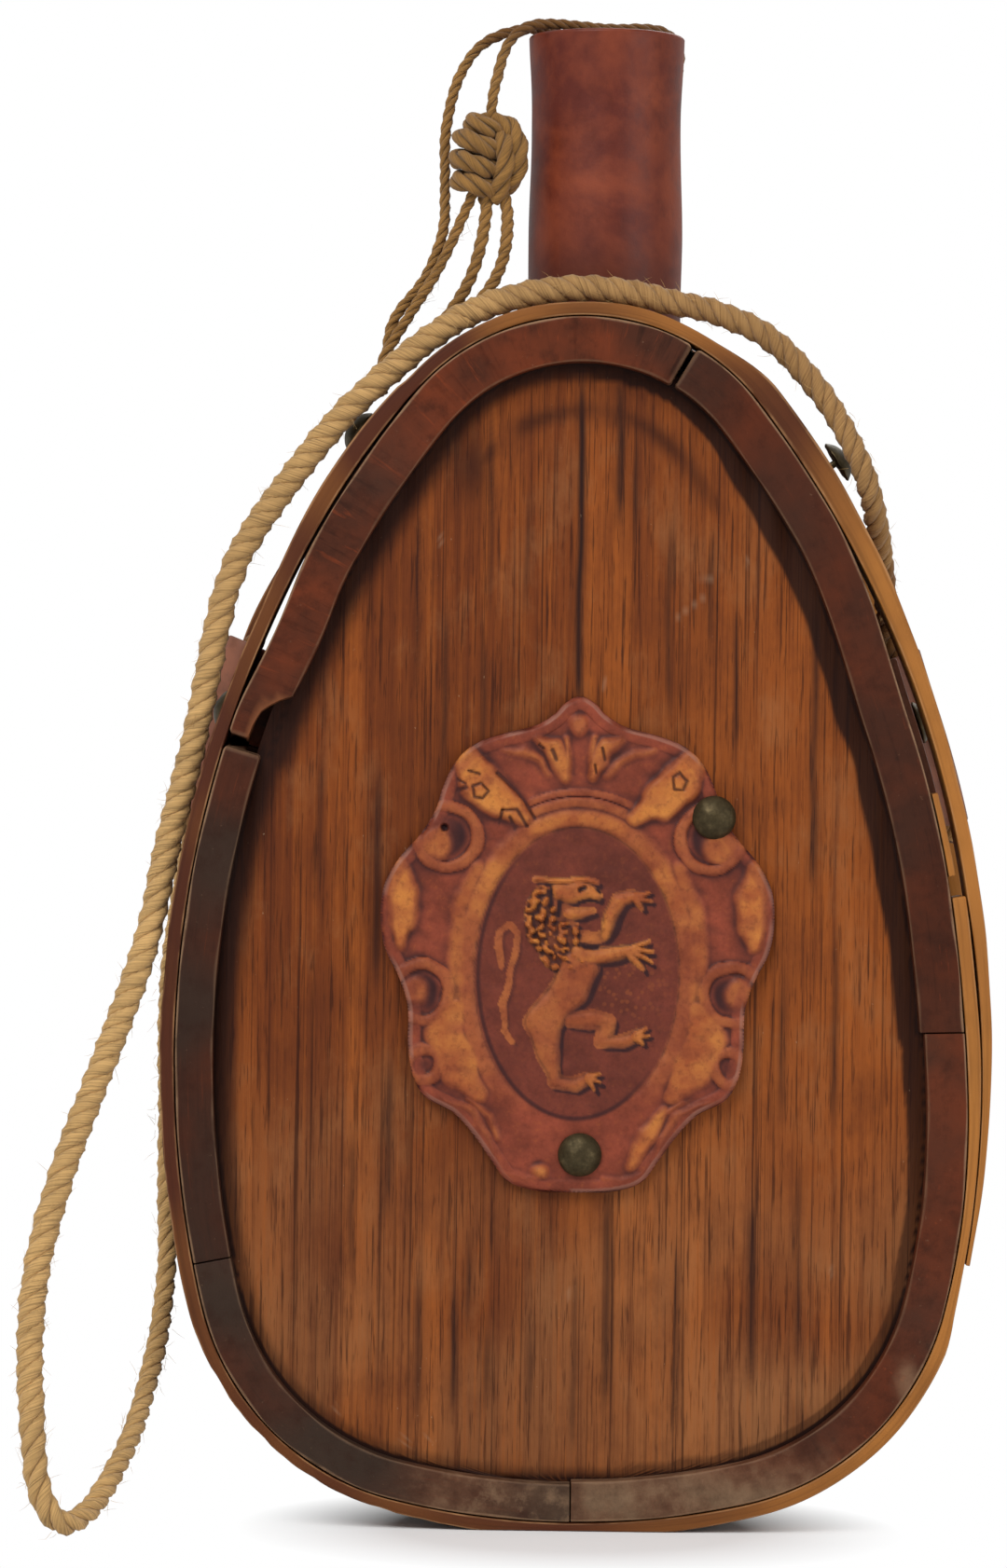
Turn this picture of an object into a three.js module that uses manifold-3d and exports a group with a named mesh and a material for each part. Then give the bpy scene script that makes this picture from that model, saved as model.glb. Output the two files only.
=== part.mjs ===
// A coopered wooden canteen: an egg-shaped barrel of five bent staves with a head let into each face,
// two lapped wooden hoops, a leather-sleeved spout with a stopper, a leather crest, domed tacks,
// rope keepers with a rope sling, and a twine tie over the stopper.
// Millimetres, +Z up, the front faces -Y, and the origin is the middle of the planed foot.
import * as THREE from 'three';
import { mergeVertices } from 'three/addons/utils/BufferGeometryUtils.js';
import Module from 'manifold-3d';

// Clearance between pieces that touch.
const FIT = 0.3;

// Barrel outline over the staves: tangent arcs, the same on both halves. The depth follows from the neck,
// which stands between the two hoops.
const BARREL_WIDTH = 187;
const BARREL_HEIGHT = 281.3;
const CROWN_RADIUS = 51.5;
const SIDE_RADIUS = 248;
const HAUNCH_RADIUS = 61;
const BASE_RADIUS = 182;

// Staves. A joint's place is the angle of the outline's outward normal there, in degrees from +X.
const CROWN_THICKNESS = 10.6;
const UPPER_RIGHT_THICKNESS = 10.4;
const LOWER_RIGHT_THICKNESS = 9.4;
const LEFT_THICKNESS = 8.8;
const RIM_CHAMFER = 0.8;
const CROWN_RIGHT_ANGLE = 60;
const SIDE_RIGHT_ANGLE = 1.6;
const BASE_ANGLE = -90;
const CROWN_LEFT_ANGLE = 162.8;
const SIDE_LEFT_ANGLE = 191.5;
const CROWN_RIGHT_GAP = 1.2;
const CROWN_LEFT_GAP = 3;
const CROWN_END_SET_IN = 2.3;
const CROWN_END_REACH_ANGLE = 11;
const CHIP_LENGTH = 12;
const CHIP_DEPTH = 6.2;
const CHIP_WIDTH = 5;
const CHIP_EDGE = [[0, 1], [0.25, 0.92], [0.55, 0.72], [0.8, 0.58], [0.95, 0.42], [1, 0]];

// The right-hand staves have shrunk in from the hoops: fully between the two middle angles.
const SHRINK = 3.5;
const SHRINK_TOP_ANGLE = 31;
const SHRINK_UPPER_ANGLE = 19;
const SHRINK_LOWER_ANGLE = 7;
const SHRINK_BOTTOM_ANGLE = -12;

// Heads, let into grooves in the staves.
const HEAD_RECESS = 6;
const HEAD_THICKNESS = 7;
const WOOD_OUTSIDE_GROOVE = 4.8;
const WOOD_OUTSIDE_HEAD = 7.6;
const HEAD_BEVEL = 0.8;

// Hoops, one at each face, lapped on the right-hand side.
const HOOP_THICKNESS = 3.2;
const HOOP_WIDTH = 16;
const HOOP_TO_NECK = 1.3;
const FOOT_PLANED = 1.5;
const LAP_OUTER_ANGLE = -10.9;
const LAP_INNER_ANGLE = 9;
const LAP_TIP = 0.9;
const BULGE_FRONT = 1;
const BULGE_FRONT_ANGLE = 147.5;
const BULGE_BACK = 2.6;
const BULGE_BACK_ANGLE = 153;
const BULGE_REACH_ANGLE = 10;
const SHIM_THICKNESS = 1.5;
const SHIM_LENGTH = 20;
const SHIM_GAP = 5;

// Neck: a turned spout, its leather sleeve and the stopper.
const NECK_OFFSET = 4.8;
const NECK_TOP = 351.5;
const SPOUT_BORE = 20;
const SPOUT_DIAMETER = 31;
const SPOUT_SPIGOT = 26;
const SPOUT_BELOW_SLEEVE = 8.5;
const SPOUT_SEAT_DEPTH = 5.2;
const SPIGOT_LENGTH = 8;
const SLEEVE_WALL = 2;
const SLEEVE_FLARE = 0.9;
const SLEEVE_SKIRT = 12;
// The sleeve's waist and swells as [share of the flare, share of the height over the barrel].
const SLEEVE_SWELL = [[0.2, 0.1], [0.85, 0.28], [0.9, 0.42], [0.4, 0.57], [0, 0.7], [0.1, 0.82], [0.8, 0.93]];
const STOPPER_PLUG_LENGTH = 26;
const STOPPER_TAPER = 0.8;
const STOPPER_HEAD_BELOW = 0.6;

// Leather crest on the front head: half its outline as [half width, height above the oval's middle].
const CREST_HEIGHT = 129.5;
const CREST_THICKNESS = 2.6;
const CREST_FIELD_WIDTH = 49;
const CREST_FIELD_HEIGHT = 70;
const CREST_FIELD_DEPTH = 0.8;
const CREST_HALF = [
  [0, 65.2], [3.4, 63.6], [6.4, 60.6], [11, 58], [18, 56.2], [24.6, 53.6], [29, 49.4], [31.8, 43.6],
  [33.6, 38], [37, 32.4], [42, 26.6], [45.4, 20], [46, 12], [44.8, 5.4], [41.6, -1], [39.4, -8],
  [39.2, -17], [38, -24], [35, -29], [28.4, -32.6], [23.4, -38], [19.4, -43.6], [15.6, -48.4],
  [9, -50.6], [0, -51],
];

// Domed tacks.
const TACK_HEAD = 10.2;
const TACK_DOME = 3.2;
const TACK_EDGE = 0.5;
const TACK_SHANK = 1.7;
const TACK_LENGTH = 8.5;
const CREST_TACK_UPPER = [31.6, 37.2];
const CREST_TACK_LOWER = [1.2, -42];
const CREST_EMPTY_HOLE = [-31.4, 34];
const SHOULDER_TACK_LEFT_ANGLE = 144.8;
const SHOULDER_TACK_LEFT_STAND = 0.8;
const SHOULDER_TACK_RIGHT_ANGLE = 33.2;
const SHOULDER_TACK_RIGHT_STAND = 2.7;
const SHOULDER_TACK_INSET = 11.5;

// Leather rope keepers on both sides, and the rope that they hold.
const KEEPER_ANGLE = 17.6;
const KEEPER_HEIGHT = 42;
const KEEPER_TO_HOOP = 0.7;
const KEEPER_THICKNESS = 2.4;
const KEEPER_TACK_SPACING = 26;
const KEEPER_TACK_RAISE = 4.6;
const ROPE_DIAMETER = 6;
const ROPE_POINTS = [
  [88.3, 0, 161.5], [85.2, 0, 174.1], [82.1, 0, 184.9], [78.5, 0, 196], [75, 0, 207.6],
  [73.3, -3.5, 215], [72.2, -14, 226.5], [68.4, -25, 239], [62.6, -30.5, 253.6], [55.5, -31, 266.6],
  [42.6, -31, 279.6], [28, -31, 287.8], [14, -31, 290.6], [1, -31, 290.6], [-13, -31, 289.2],
  [-28, -31, 283.8], [-44.8, -31, 272.2], [-57.4, -31, 258.5], [-72.4, -31, 239.1], [-80.6, -30.5, 225.8],
  [-84.6, -30, 212.7], [-89.6, -30, 186.3], [-95.8, -30, 160], [-101.3, -32.5, 133.8], [-110, -38, 107.8],
  [-118.8, -46, 82.2], [-124.2, -54, 57], [-124.1, -61, 31.8], [-120.9, -64, 9], [-116.5, -63, 3.6],
  [-111.5, -57, 5.2], [-104, -41, 17.2], [-99.6, -22, 32], [-96.8, -4, 53], [-97.2, 4, 90],
  [-97, 3, 128], [-91.6, 0, 162], [-85.3, 0, 185.7], [-81.5, 0, 196.9], [-77.4, 0, 208],
];

// Twine tie: over the stopper, down the back of the neck, up again, and down to the left shoulder tack.
const TWINE_DIAMETER = 2.6;
const TWINE_TIE_POINTS = [
  [-22.4, -13.6, 335.5], [-21.2, -12.5, 341.5], [-18.6, -9.6, 348.8], [-13.5, -6.5, 353.2], [4, -1, 353.4],
  [18.6, 8.8, 353.8], [22.4, 14, 350.6], [21.2, 15.4, 342], [17.6, 18.4, 329], [11.5, 21.6, 318.5],
  [4.6, 22.8, 312.5], [-2, 22, 318.5], [-4.2, 20.4, 329], [-4.8, 20.4, 341], [-5.2, 20, 350.4],
  [-6.4, 16.4, 353.8], [-14.4, 3.8, 353.6], [-20, 2, 352.2], [-25.8, 0, 348.8], [-30.8, -2, 341],
  [-33.6, -4, 329.6], [-34.4, -8, 315.9], [-35.6, -12, 304.4], [-39.6, -15, 293.4], [-45.2, -16.6, 282.8],
  [-46.8, -17.6, 272.4], [-47.4, -19.4, 266], [-48.6, -21.4, 263.2],
];
const TWINE_LEG_POINTS = [
  [-28.4, -14.6, 309.6], [-31.6, -15.8, 302], [-35.4, -17.6, 294], [-41, -20.2, 284.6], [-47.2, -22.6, 273.5],
  [-48.4, -24.8, 266.6], [-49, -25.8, 263.4],
];
const TWINE_TAIL_LONG_POINTS = [
  [-23.6, -15.4, 308.4], [-24.6, -16.4, 302], [-26.4, -17.4, 295], [-29.4, -18.4, 288.6], [-33, -19, 283],
];
const TWINE_TAIL_SHORT_POINTS = [
  [-18.6, -15.2, 309.4], [-18.6, -16.4, 303], [-20, -17.6, 296], [-23, -19, 290], [-26.2, -20.4, 286.2],
];
const KNOT_CENTRE = [-22.8, -14, 322];
const KNOT_RADIUS = 5.2;
const KNOT_STRAND = 4;
const KNOT_STRETCH = 1.15;
const KNOT_LOBES = 3;
const KNOT_ROUNDS = 2;
const KNOT_OPEN_ENDS = 0.03;

// How finely curves are cut into flats, and how closely they are measured.
const SWEEP_STEP = 8;
const ARCH_CUTS = 4;
const TURN_CUTS = 32;
const TACK_CUTS = 12;
const DOME_CUTS = 3;
const CREST_CUTS = 4;
const HEAD_CUTS = 56;
const BARREL_CUTS = 120;
const ROPE_STEP = 15;
const ROPE_HALF_SIDES = 5;
const TWINE_STEP = 7;
const TWINE_HALF_SIDES = 4;
const KNOT_STEPS = 52;
const LENGTH_SAMPLES = 600;
const GAP_SAMPLES = 240;

// Finishes.
const RIM_WOOD = { color: 0x4a2c22, roughness: 0.6, metalness: 0 };
const HEAD_WOOD = { color: 0x7d4a28, roughness: 0.5, metalness: 0 };
const HOOP_WOOD = { color: 0x8a5a2c, roughness: 0.55, metalness: 0 };
const SPOUT_WOOD = { color: 0x6e4426, roughness: 0.6, metalness: 0 };
const CORK = { color: 0x5d3a22, roughness: 0.8, metalness: 0 };
const NECK_LEATHER = { color: 0x733424, roughness: 0.45, metalness: 0 };
const CREST_LEATHER = { color: 0x8f4a2e, roughness: 0.5, metalness: 0 };
const KEEPER_LEATHER = { color: 0x6e3a26, roughness: 0.6, metalness: 0 };
const ANTIQUE_BRASS = { color: 0x5e5238, roughness: 0.4, metalness: 1 };
const SISAL = { color: 0xc39a62, roughness: 0.9, metalness: 0 };
const TWINE = { color: 0x8a683c, roughness: 0.9, metalness: 0 };

const { degToRad, lerp, smoothstep } = THREE.MathUtils;
const RIGHT_ANGLE = Math.PI / 2;
const BARREL_FOOT = HOOP_THICKNESS + FIT - FOOT_PLANED;
const SLEEVE_INSIDE = SPOUT_DIAMETER / 2 + FIT;
const SLEEVE_WAIST = SLEEVE_INSIDE + SLEEVE_WALL;
const BETWEEN_HOOPS = 2 * (SLEEVE_WAIST + SLEEVE_FLARE + HOOP_TO_NECK);
const HALF_DEPTH = BETWEEN_HOOPS / 2 + HOOP_WIDTH;
const HEAD_FACE = HALF_DEPTH - HEAD_RECESS;
const HOOP_MIDDLE = HALF_DEPTH - HOOP_WIDTH / 2;
const HOOP_TOP = FIT + HOOP_THICKNESS;
const KEEPER_WIDTH = BETWEEN_HOOPS - 2 * KEEPER_TO_HOOP;
const CROWN_TOP = BARREL_FOOT + BARREL_HEIGHT;

const wasm = await Module();
wasm.setup();

// The barrel's outline. Each arc is found by the direction of its outward normal.
function makeOutline() {
  const crown = new THREE.Vector2(0, CROWN_TOP - CROWN_RADIUS);
  const crownEnd = Math.acos((SIDE_RADIUS - BARREL_WIDTH / 2) / (SIDE_RADIUS - CROWN_RADIUS));
  const towardsCrown = new THREE.Vector2(Math.cos(crownEnd), Math.sin(crownEnd));
  const side = crown.clone().addScaledVector(towardsCrown, CROWN_RADIUS - SIDE_RADIUS);
  const base = new THREE.Vector2(0, BARREL_FOOT + BASE_RADIUS);
  const sideReach = SIDE_RADIUS - HAUNCH_RADIUS;
  const baseReach = BASE_RADIUS - HAUNCH_RADIUS;
  const between = base.clone().sub(side);
  const span = between.length();
  const along = (sideReach ** 2 - baseReach ** 2 + span ** 2) / (2 * span);
  const across = Math.sqrt(sideReach ** 2 - along ** 2);
  const unit = between.divideScalar(span);
  const haunch = side.clone().addScaledVector(unit, along);
  haunch.add(new THREE.Vector2(unit.y, -unit.x).multiplyScalar(across));
  const haunchStart = haunch.clone().sub(side).angle() - 2 * Math.PI;
  const haunchEnd = haunch.clone().sub(base).angle() - 2 * Math.PI;
  return [
    { from: crownEnd, to: Math.PI - crownEnd, centre: crown, radius: CROWN_RADIUS },
    { from: haunchStart, to: crownEnd, centre: side, radius: SIDE_RADIUS },
    { from: haunchEnd, to: haunchStart, centre: haunch, radius: HAUNCH_RADIUS },
    { from: -Math.PI - haunchEnd, to: haunchEnd, centre: base, radius: BASE_RADIUS },
  ];
}

const OUTLINE = makeOutline();

// The outward normal's direction, folded onto the right-hand half.
function foldedAngle(angle) {
  const turn = 2 * Math.PI;
  const whole = ((((angle + RIGHT_ANGLE) % turn) + turn) % turn) - RIGHT_ANGLE;
  return whole > RIGHT_ANGLE ? { angle: Math.PI - whole, side: -1 } : { angle: whole, side: 1 };
}

// A point on the outline moved out along its normal, in the plane at depth y.
function outlinePoint(angle, offset, y, target = new THREE.Vector3()) {
  const folded = foldedAngle(angle);
  const arc = OUTLINE.find((piece) => folded.angle >= piece.from) ?? OUTLINE[OUTLINE.length - 1];
  const reach = arc.radius + offset;
  const x = arc.centre.x + reach * Math.cos(folded.angle);
  const z = arc.centre.y + reach * Math.sin(folded.angle);
  return target.set(folded.side * x, y, z);
}

function outwardAt(angle) {
  return new THREE.Vector3(Math.cos(angle), 0, Math.sin(angle));
}

// The radius of the outline's arc at an angle, for turning lengths along it into angles.
function radiusAt(angle) {
  const folded = foldedAngle(angle).angle;
  return (OUTLINE.find((piece) => folded >= piece.from) ?? OUTLINE[OUTLINE.length - 1]).radius;
}

// The ring of staves against the outline: in from it where the right-hand staves have shrunk.
function ringOffset(angle) {
  const folded = foldedAngle(angle);
  if (folded.side < 0) return 0;
  const below = 1 - smoothstep(folded.angle, degToRad(SHRINK_UPPER_ANGLE), degToRad(SHRINK_TOP_ANGLE));
  const above = smoothstep(folded.angle, degToRad(SHRINK_BOTTOM_ANGLE), degToRad(SHRINK_LOWER_ANGLE));
  return -SHRINK * below * above;
}

// A run along the outline between two angles, at an offset that may change on the way.
class OutlineRun extends THREE.Curve {
  constructor(from, to, y, offsetAt) {
    super();
    this.arcLengthDivisions = LENGTH_SAMPLES;
    this.from = from;
    this.to = to;
    this.y = y;
    this.offsetAt = offsetAt;
  }

  getPoint(t, target = new THREE.Vector3()) {
    const angle = lerp(this.from, this.to, t);
    return outlinePoint(angle, this.offsetAt(angle), this.y, target);
  }
}

function polygon(points) {
  return new THREE.Shape(points.map(([x, y]) => new THREE.Vector2(x, y)));
}

// A section of (depth, height over the outline) carried along a run.
function sweep(section, run, stepLength = SWEEP_STEP) {
  const steps = Math.max(2, Math.round(run.getLength() / stepLength));
  return new THREE.ExtrudeGeometry(section, { steps, extrudePath: run, curveSegments: ARCH_CUTS });
}

// A shape drawn in (x, z), as a board from one depth to another.
function board(shape, front, back, bevel = 0) {
  const depth = back - front - 2 * bevel;
  const geometry = new THREE.ExtrudeGeometry(shape, {
    depth,
    bevelEnabled: bevel > 0,
    bevelThickness: bevel,
    bevelSize: bevel,
    bevelOffset: -bevel,
    bevelSegments: 1,
  });
  return geometry.rotateX(RIGHT_ANGLE).translate(0, back - bevel, 0);
}

// A profile of [radius, height] turned about an upright axis at (x, y).
function turned(profile, x = 0, y = 0, cuts = TURN_CUTS) {
  const points = profile.map(([radius, height]) => new THREE.Vector2(radius, height));
  return new THREE.LatheGeometry(points, cuts).rotateX(RIGHT_ANGLE).translate(x, y, 0);
}

// The ring of staves as a shape in (x, z), moved out by an offset.
function ringShape(offset, cuts) {
  const offsetAt = (angle) => offset + ringOffset(angle);
  const points = new OutlineRun(-RIGHT_ANGLE, 3 * RIGHT_ANGLE, 0, offsetAt).getSpacedPoints(cuts);
  points.pop();
  return polygon(points.map(({ x, z }) => [x, z]));
}

function toSolid(geometry) {
  const bare = new THREE.BufferGeometry();
  bare.setAttribute('position', geometry.getAttribute('position'));
  bare.setIndex(geometry.getIndex());
  const merged = mergeVertices(bare);
  return new wasm.Manifold(new wasm.Mesh({
    numProp: 3,
    vertProperties: new Float32Array(merged.getAttribute('position').array),
    triVerts: new Uint32Array(merged.getIndex().array),
  }));
}

function toGeometry(solid) {
  const mesh = solid.getMesh();
  const geometry = new THREE.BufferGeometry();
  geometry.setAttribute('position', new THREE.BufferAttribute(mesh.vertProperties, 3));
  geometry.setIndex(new THREE.BufferAttribute(mesh.triVerts, 1));
  geometry.computeVertexNormals();
  return geometry;
}

function cut(geometry, tools) {
  return toGeometry(tools.reduce((solid, tool) => solid.subtract(toSolid(tool)), toSolid(geometry)));
}

const canteen = new THREE.Group();

function addPiece(name, geometry, finish) {
  const mesh = new THREE.Mesh(geometry, new THREE.MeshStandardMaterial(finish));
  mesh.name = name;
  canteen.add(mesh);
  return mesh;
}

// Tacks: each has a place, an outward direction and the pieces that its shank goes through.
function tackPlace(point, outward) {
  const turn = new THREE.Quaternion().setFromUnitVectors(new THREE.Vector3(0, 0, 1), outward);
  return new THREE.Matrix4().compose(point, turn, new THREE.Vector3(1, 1, 1));
}

function tackGeometry() {
  const radius = TACK_HEAD / 2;
  const shank = TACK_SHANK / 2;
  const domeRise = TACK_DOME - TACK_EDGE;
  const domeRadius = (radius ** 2 + domeRise ** 2) / (2 * domeRise);
  const profile = [[0, -TACK_LENGTH], [shank, -TACK_LENGTH + TACK_SHANK], [shank, 0], [radius, 0]];
  for (let i = 0; i <= DOME_CUTS; i += 1) {
    const reach = radius * Math.cos((RIGHT_ANGLE * i) / DOME_CUTS);
    const height = Math.sqrt(domeRadius ** 2 - reach ** 2) - (domeRadius - domeRise);
    profile.push([i === DOME_CUTS ? 0 : reach, TACK_EDGE + height]);
  }
  return turned(profile, 0, 0, TACK_CUTS);
}

function tackHole(place) {
  const length = TACK_LENGTH + 2 * FIT + TACK_DOME;
  const hole = new THREE.CylinderGeometry(TACK_SHANK / 2 + FIT, TACK_SHANK / 2 + FIT, length, TACK_CUTS);
  hole.rotateX(RIGHT_ANGLE).translate(0, 0, TACK_DOME - length / 2);
  return hole.applyMatrix4(place);
}

function shoulderTackPlace(angleDegrees, stand) {
  const angle = degToRad(angleDegrees);
  const [, outside] = frontHoopFaces(angle);
  const point = outlinePoint(angle, outside + stand, -HALF_DEPTH + SHOULDER_TACK_INSET);
  return tackPlace(point, outwardAt(angle));
}

function keeperTackPlace(side, face) {
  const raised = degToRad(KEEPER_ANGLE) + KEEPER_TACK_RAISE / SIDE_RADIUS;
  const angle = side > 0 ? raised : Math.PI - raised;
  const offset = KEEPER_THICKNESS + 2 * FIT + ringOffset(angle);
  const point = outlinePoint(angle, offset, face * KEEPER_TACK_SPACING / 2);
  return tackPlace(point, outwardAt(angle));
}

function crestPlace([x, z]) {
  const point = new THREE.Vector3(x, -HEAD_FACE - CREST_THICKNESS - 2 * FIT, CREST_HEIGHT + z);
  return tackPlace(point, new THREE.Vector3(0, -1, 0));
}

const TACKS = {
  crest_tack_upper: crestPlace(CREST_TACK_UPPER),
  crest_tack_lower: crestPlace(CREST_TACK_LOWER),
  shoulder_tack_left: shoulderTackPlace(SHOULDER_TACK_LEFT_ANGLE, SHOULDER_TACK_LEFT_STAND),
  shoulder_tack_right: shoulderTackPlace(SHOULDER_TACK_RIGHT_ANGLE, SHOULDER_TACK_RIGHT_STAND),
  keeper_tack_left_front: keeperTackPlace(-1, -1),
  keeper_tack_left_back: keeperTackPlace(-1, 1),
  keeper_tack_right_front: keeperTackPlace(1, -1),
  keeper_tack_right_back: keeperTackPlace(1, 1),
};

function holesFor(...names) {
  return names.map((name) => tackHole(TACKS[name]));
}

// Staves
function staveSection(thickness) {
  const grooveFront = HALF_DEPTH - HEAD_RECESS + FIT;
  const grooveBack = grooveFront - HEAD_THICKNESS - 2 * FIT;
  const inner = -thickness;
  const half = [
    [HALF_DEPTH - RIM_CHAMFER, 0], [HALF_DEPTH, -RIM_CHAMFER], [HALF_DEPTH, inner + RIM_CHAMFER],
    [HALF_DEPTH - RIM_CHAMFER, inner], [grooveFront, inner], [grooveFront, -WOOD_OUTSIDE_GROOVE],
    [grooveBack, -WOOD_OUTSIDE_GROOVE], [grooveBack, inner],
  ];
  const mirrored = half.map(([depth, height]) => [-depth, height]).reverse();
  return polygon([...half, ...mirrored]);
}

function stave(thickness, fromDegrees, toDegrees, offsetAt = ringOffset) {
  const from = degToRad(fromDegrees);
  const to = degToRad(toDegrees);
  const start = from + FIT / 2 / radiusAt(from);
  const end = to - FIT / 2 / radiusAt(to);
  return sweep(staveSection(thickness), new OutlineRun(start, end, 0, offsetAt));
}

// The direction along the outline towards smaller angles.
function alongAt(angle) {
  return new THREE.Vector3(Math.sin(angle), 0, -Math.cos(angle));
}

// A joint that has opened at the front: a gap that closes towards the back.
function jointWedge(angleDegrees, gap) {
  const angle = degToRad(angleDegrees);
  const front = -HALF_DEPTH - FIT;
  const shape = polygon([[-gap / 2, front], [gap / 2, front], [0, HALF_DEPTH]]);
  const wedge = new THREE.ExtrudeGeometry(shape, { depth: 3 * CROWN_THICKNESS, bevelEnabled: false });
  wedge.translate(0, 0, -2 * CROWN_THICKNESS);
  const place = new THREE.Matrix4().makeBasis(alongAt(angle), new THREE.Vector3(0, 1, 0), outwardAt(angle));
  return wedge.applyMatrix4(place.setPosition(outlinePoint(angle, 0, 0)));
}

// The crown stave's left end has sprung in from the hoop.
function crownOffset(angle) {
  const end = degToRad(CROWN_LEFT_ANGLE);
  return -CROWN_END_SET_IN * smoothstep(angle, end - degToRad(CROWN_END_REACH_ANGLE), end);
}

// The corner broken off the crown stave's left end, at the inside of the front rim.
function chipTool() {
  const joint = degToRad(CROWN_LEFT_ANGLE);
  const corner = outlinePoint(joint, -CROWN_THICKNESS - CROWN_END_SET_IN, 0);
  const outward = outwardAt(joint);
  const along = alongAt(joint);
  const place = (length, depth) => {
    const point = corner.clone().addScaledVector(along, length).addScaledVector(outward, depth);
    return [point.x, point.z];
  };
  const broken = CHIP_EDGE.map(([length, depth]) => (
    place(CROWN_LEFT_GAP / 2 + length * CHIP_LENGTH, depth * CHIP_DEPTH)
  ));
  const shape = polygon([
    place(-CROWN_LEFT_GAP, -CHIP_DEPTH), place(-CROWN_LEFT_GAP, CHIP_DEPTH), ...broken,
    place(CROWN_LEFT_GAP / 2 + CHIP_LENGTH, -CHIP_DEPTH),
  ]);
  return board(shape, -HALF_DEPTH - FIT, -HALF_DEPTH + CHIP_WIDTH);
}

// A round hole down through the crown for the spout, from one height to another.
function neckHole(radius, from, to) {
  return turned([[0, from], [radius, from], [radius, to], [0, to]], NECK_OFFSET);
}

function buildStaves() {
  const seat = CROWN_TOP - SPOUT_SEAT_DEPTH;
  const inside = CROWN_TOP - 2 * CROWN_THICKNESS;
  const rightWedge = jointWedge(CROWN_RIGHT_ANGLE, CROWN_RIGHT_GAP);
  const leftWedge = jointWedge(CROWN_LEFT_ANGLE, CROWN_LEFT_GAP);
  const crown = stave(CROWN_THICKNESS, CROWN_RIGHT_ANGLE, CROWN_LEFT_ANGLE, crownOffset);
  addPiece('stave_crown', cut(crown, [
    rightWedge,
    leftWedge,
    neckHole(SPOUT_SPIGOT / 2 + FIT, inside, NECK_TOP),
    neckHole(SPOUT_DIAMETER / 2 + FIT, seat, NECK_TOP),
    chipTool(),
    ...holesFor('shoulder_tack_left', 'keeper_tack_left_front', 'keeper_tack_left_back'),
  ]), RIM_WOOD);
  const upperRight = stave(UPPER_RIGHT_THICKNESS, SIDE_RIGHT_ANGLE, CROWN_RIGHT_ANGLE);
  addPiece('stave_upper_right', cut(upperRight, [
    rightWedge,
    ...holesFor('shoulder_tack_right', 'keeper_tack_right_front', 'keeper_tack_right_back'),
  ]), RIM_WOOD);
  addPiece('stave_lower_right', stave(LOWER_RIGHT_THICKNESS, BASE_ANGLE, SIDE_RIGHT_ANGLE), RIM_WOOD);
  addPiece('stave_lower_left', stave(LEFT_THICKNESS, SIDE_LEFT_ANGLE, BASE_ANGLE + 360), RIM_WOOD);
  const upperLeft = stave(LEFT_THICKNESS, CROWN_LEFT_ANGLE, SIDE_LEFT_ANGLE);
  addPiece('stave_upper_left', cut(upperLeft, [leftWedge]), RIM_WOOD);
}

// Heads
function buildHeads() {
  const shape = ringShape(-WOOD_OUTSIDE_HEAD, HEAD_CUTS);
  const front = board(shape, -HEAD_FACE, -HEAD_FACE + HEAD_THICKNESS, HEAD_BEVEL);
  addPiece('head_front', cut(front, holesFor('crest_tack_upper', 'crest_tack_lower')), HEAD_WOOD);
  addPiece('head_back', board(shape, HEAD_FACE - HEAD_THICKNESS, HEAD_FACE, HEAD_BEVEL), HEAD_WOOD);
}

// Hoops
// The outer lap's thickness: full over the inner lap's end and pared down towards its own end. The same
// taper carried on below nothing makes room for the inner lap.
function lapThickness(angle) {
  const top = degToRad(LAP_INNER_ANGLE);
  const share = (top - angle) / (top - degToRad(LAP_OUTER_ANGLE));
  return lerp(HOOP_THICKNESS, LAP_TIP, Math.max(0, share));
}

// A hoop's inner and outer face over the outline: from its outer lap all the way round to the bottom,
// then up the right-hand side as the inner lap, against the staves.
function hoopFaces(angle, bulge, bulgeDegrees) {
  if (angle < 3 * RIGHT_ANGLE) {
    const away = Math.min(1, Math.abs(angle - degToRad(bulgeDegrees)) / degToRad(BULGE_REACH_ANGLE));
    const outside = HOOP_TOP + bulge * Math.cos(away * RIGHT_ANGLE) ** 2;
    return [outside - lapThickness(angle), outside];
  }
  const inside = FIT + ringOffset(angle);
  const underLap = HOOP_TOP - lapThickness(angle - 4 * RIGHT_ANGLE) - FIT;
  return [inside, Math.min(inside + HOOP_THICKNESS, underLap)];
}

function frontHoopFaces(angle) {
  return hoopFaces(angle, BULGE_FRONT, BULGE_FRONT_ANGLE);
}

function backHoopFaces(angle) {
  return hoopFaces(angle, BULGE_BACK, BULGE_BACK_ANGLE);
}

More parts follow.
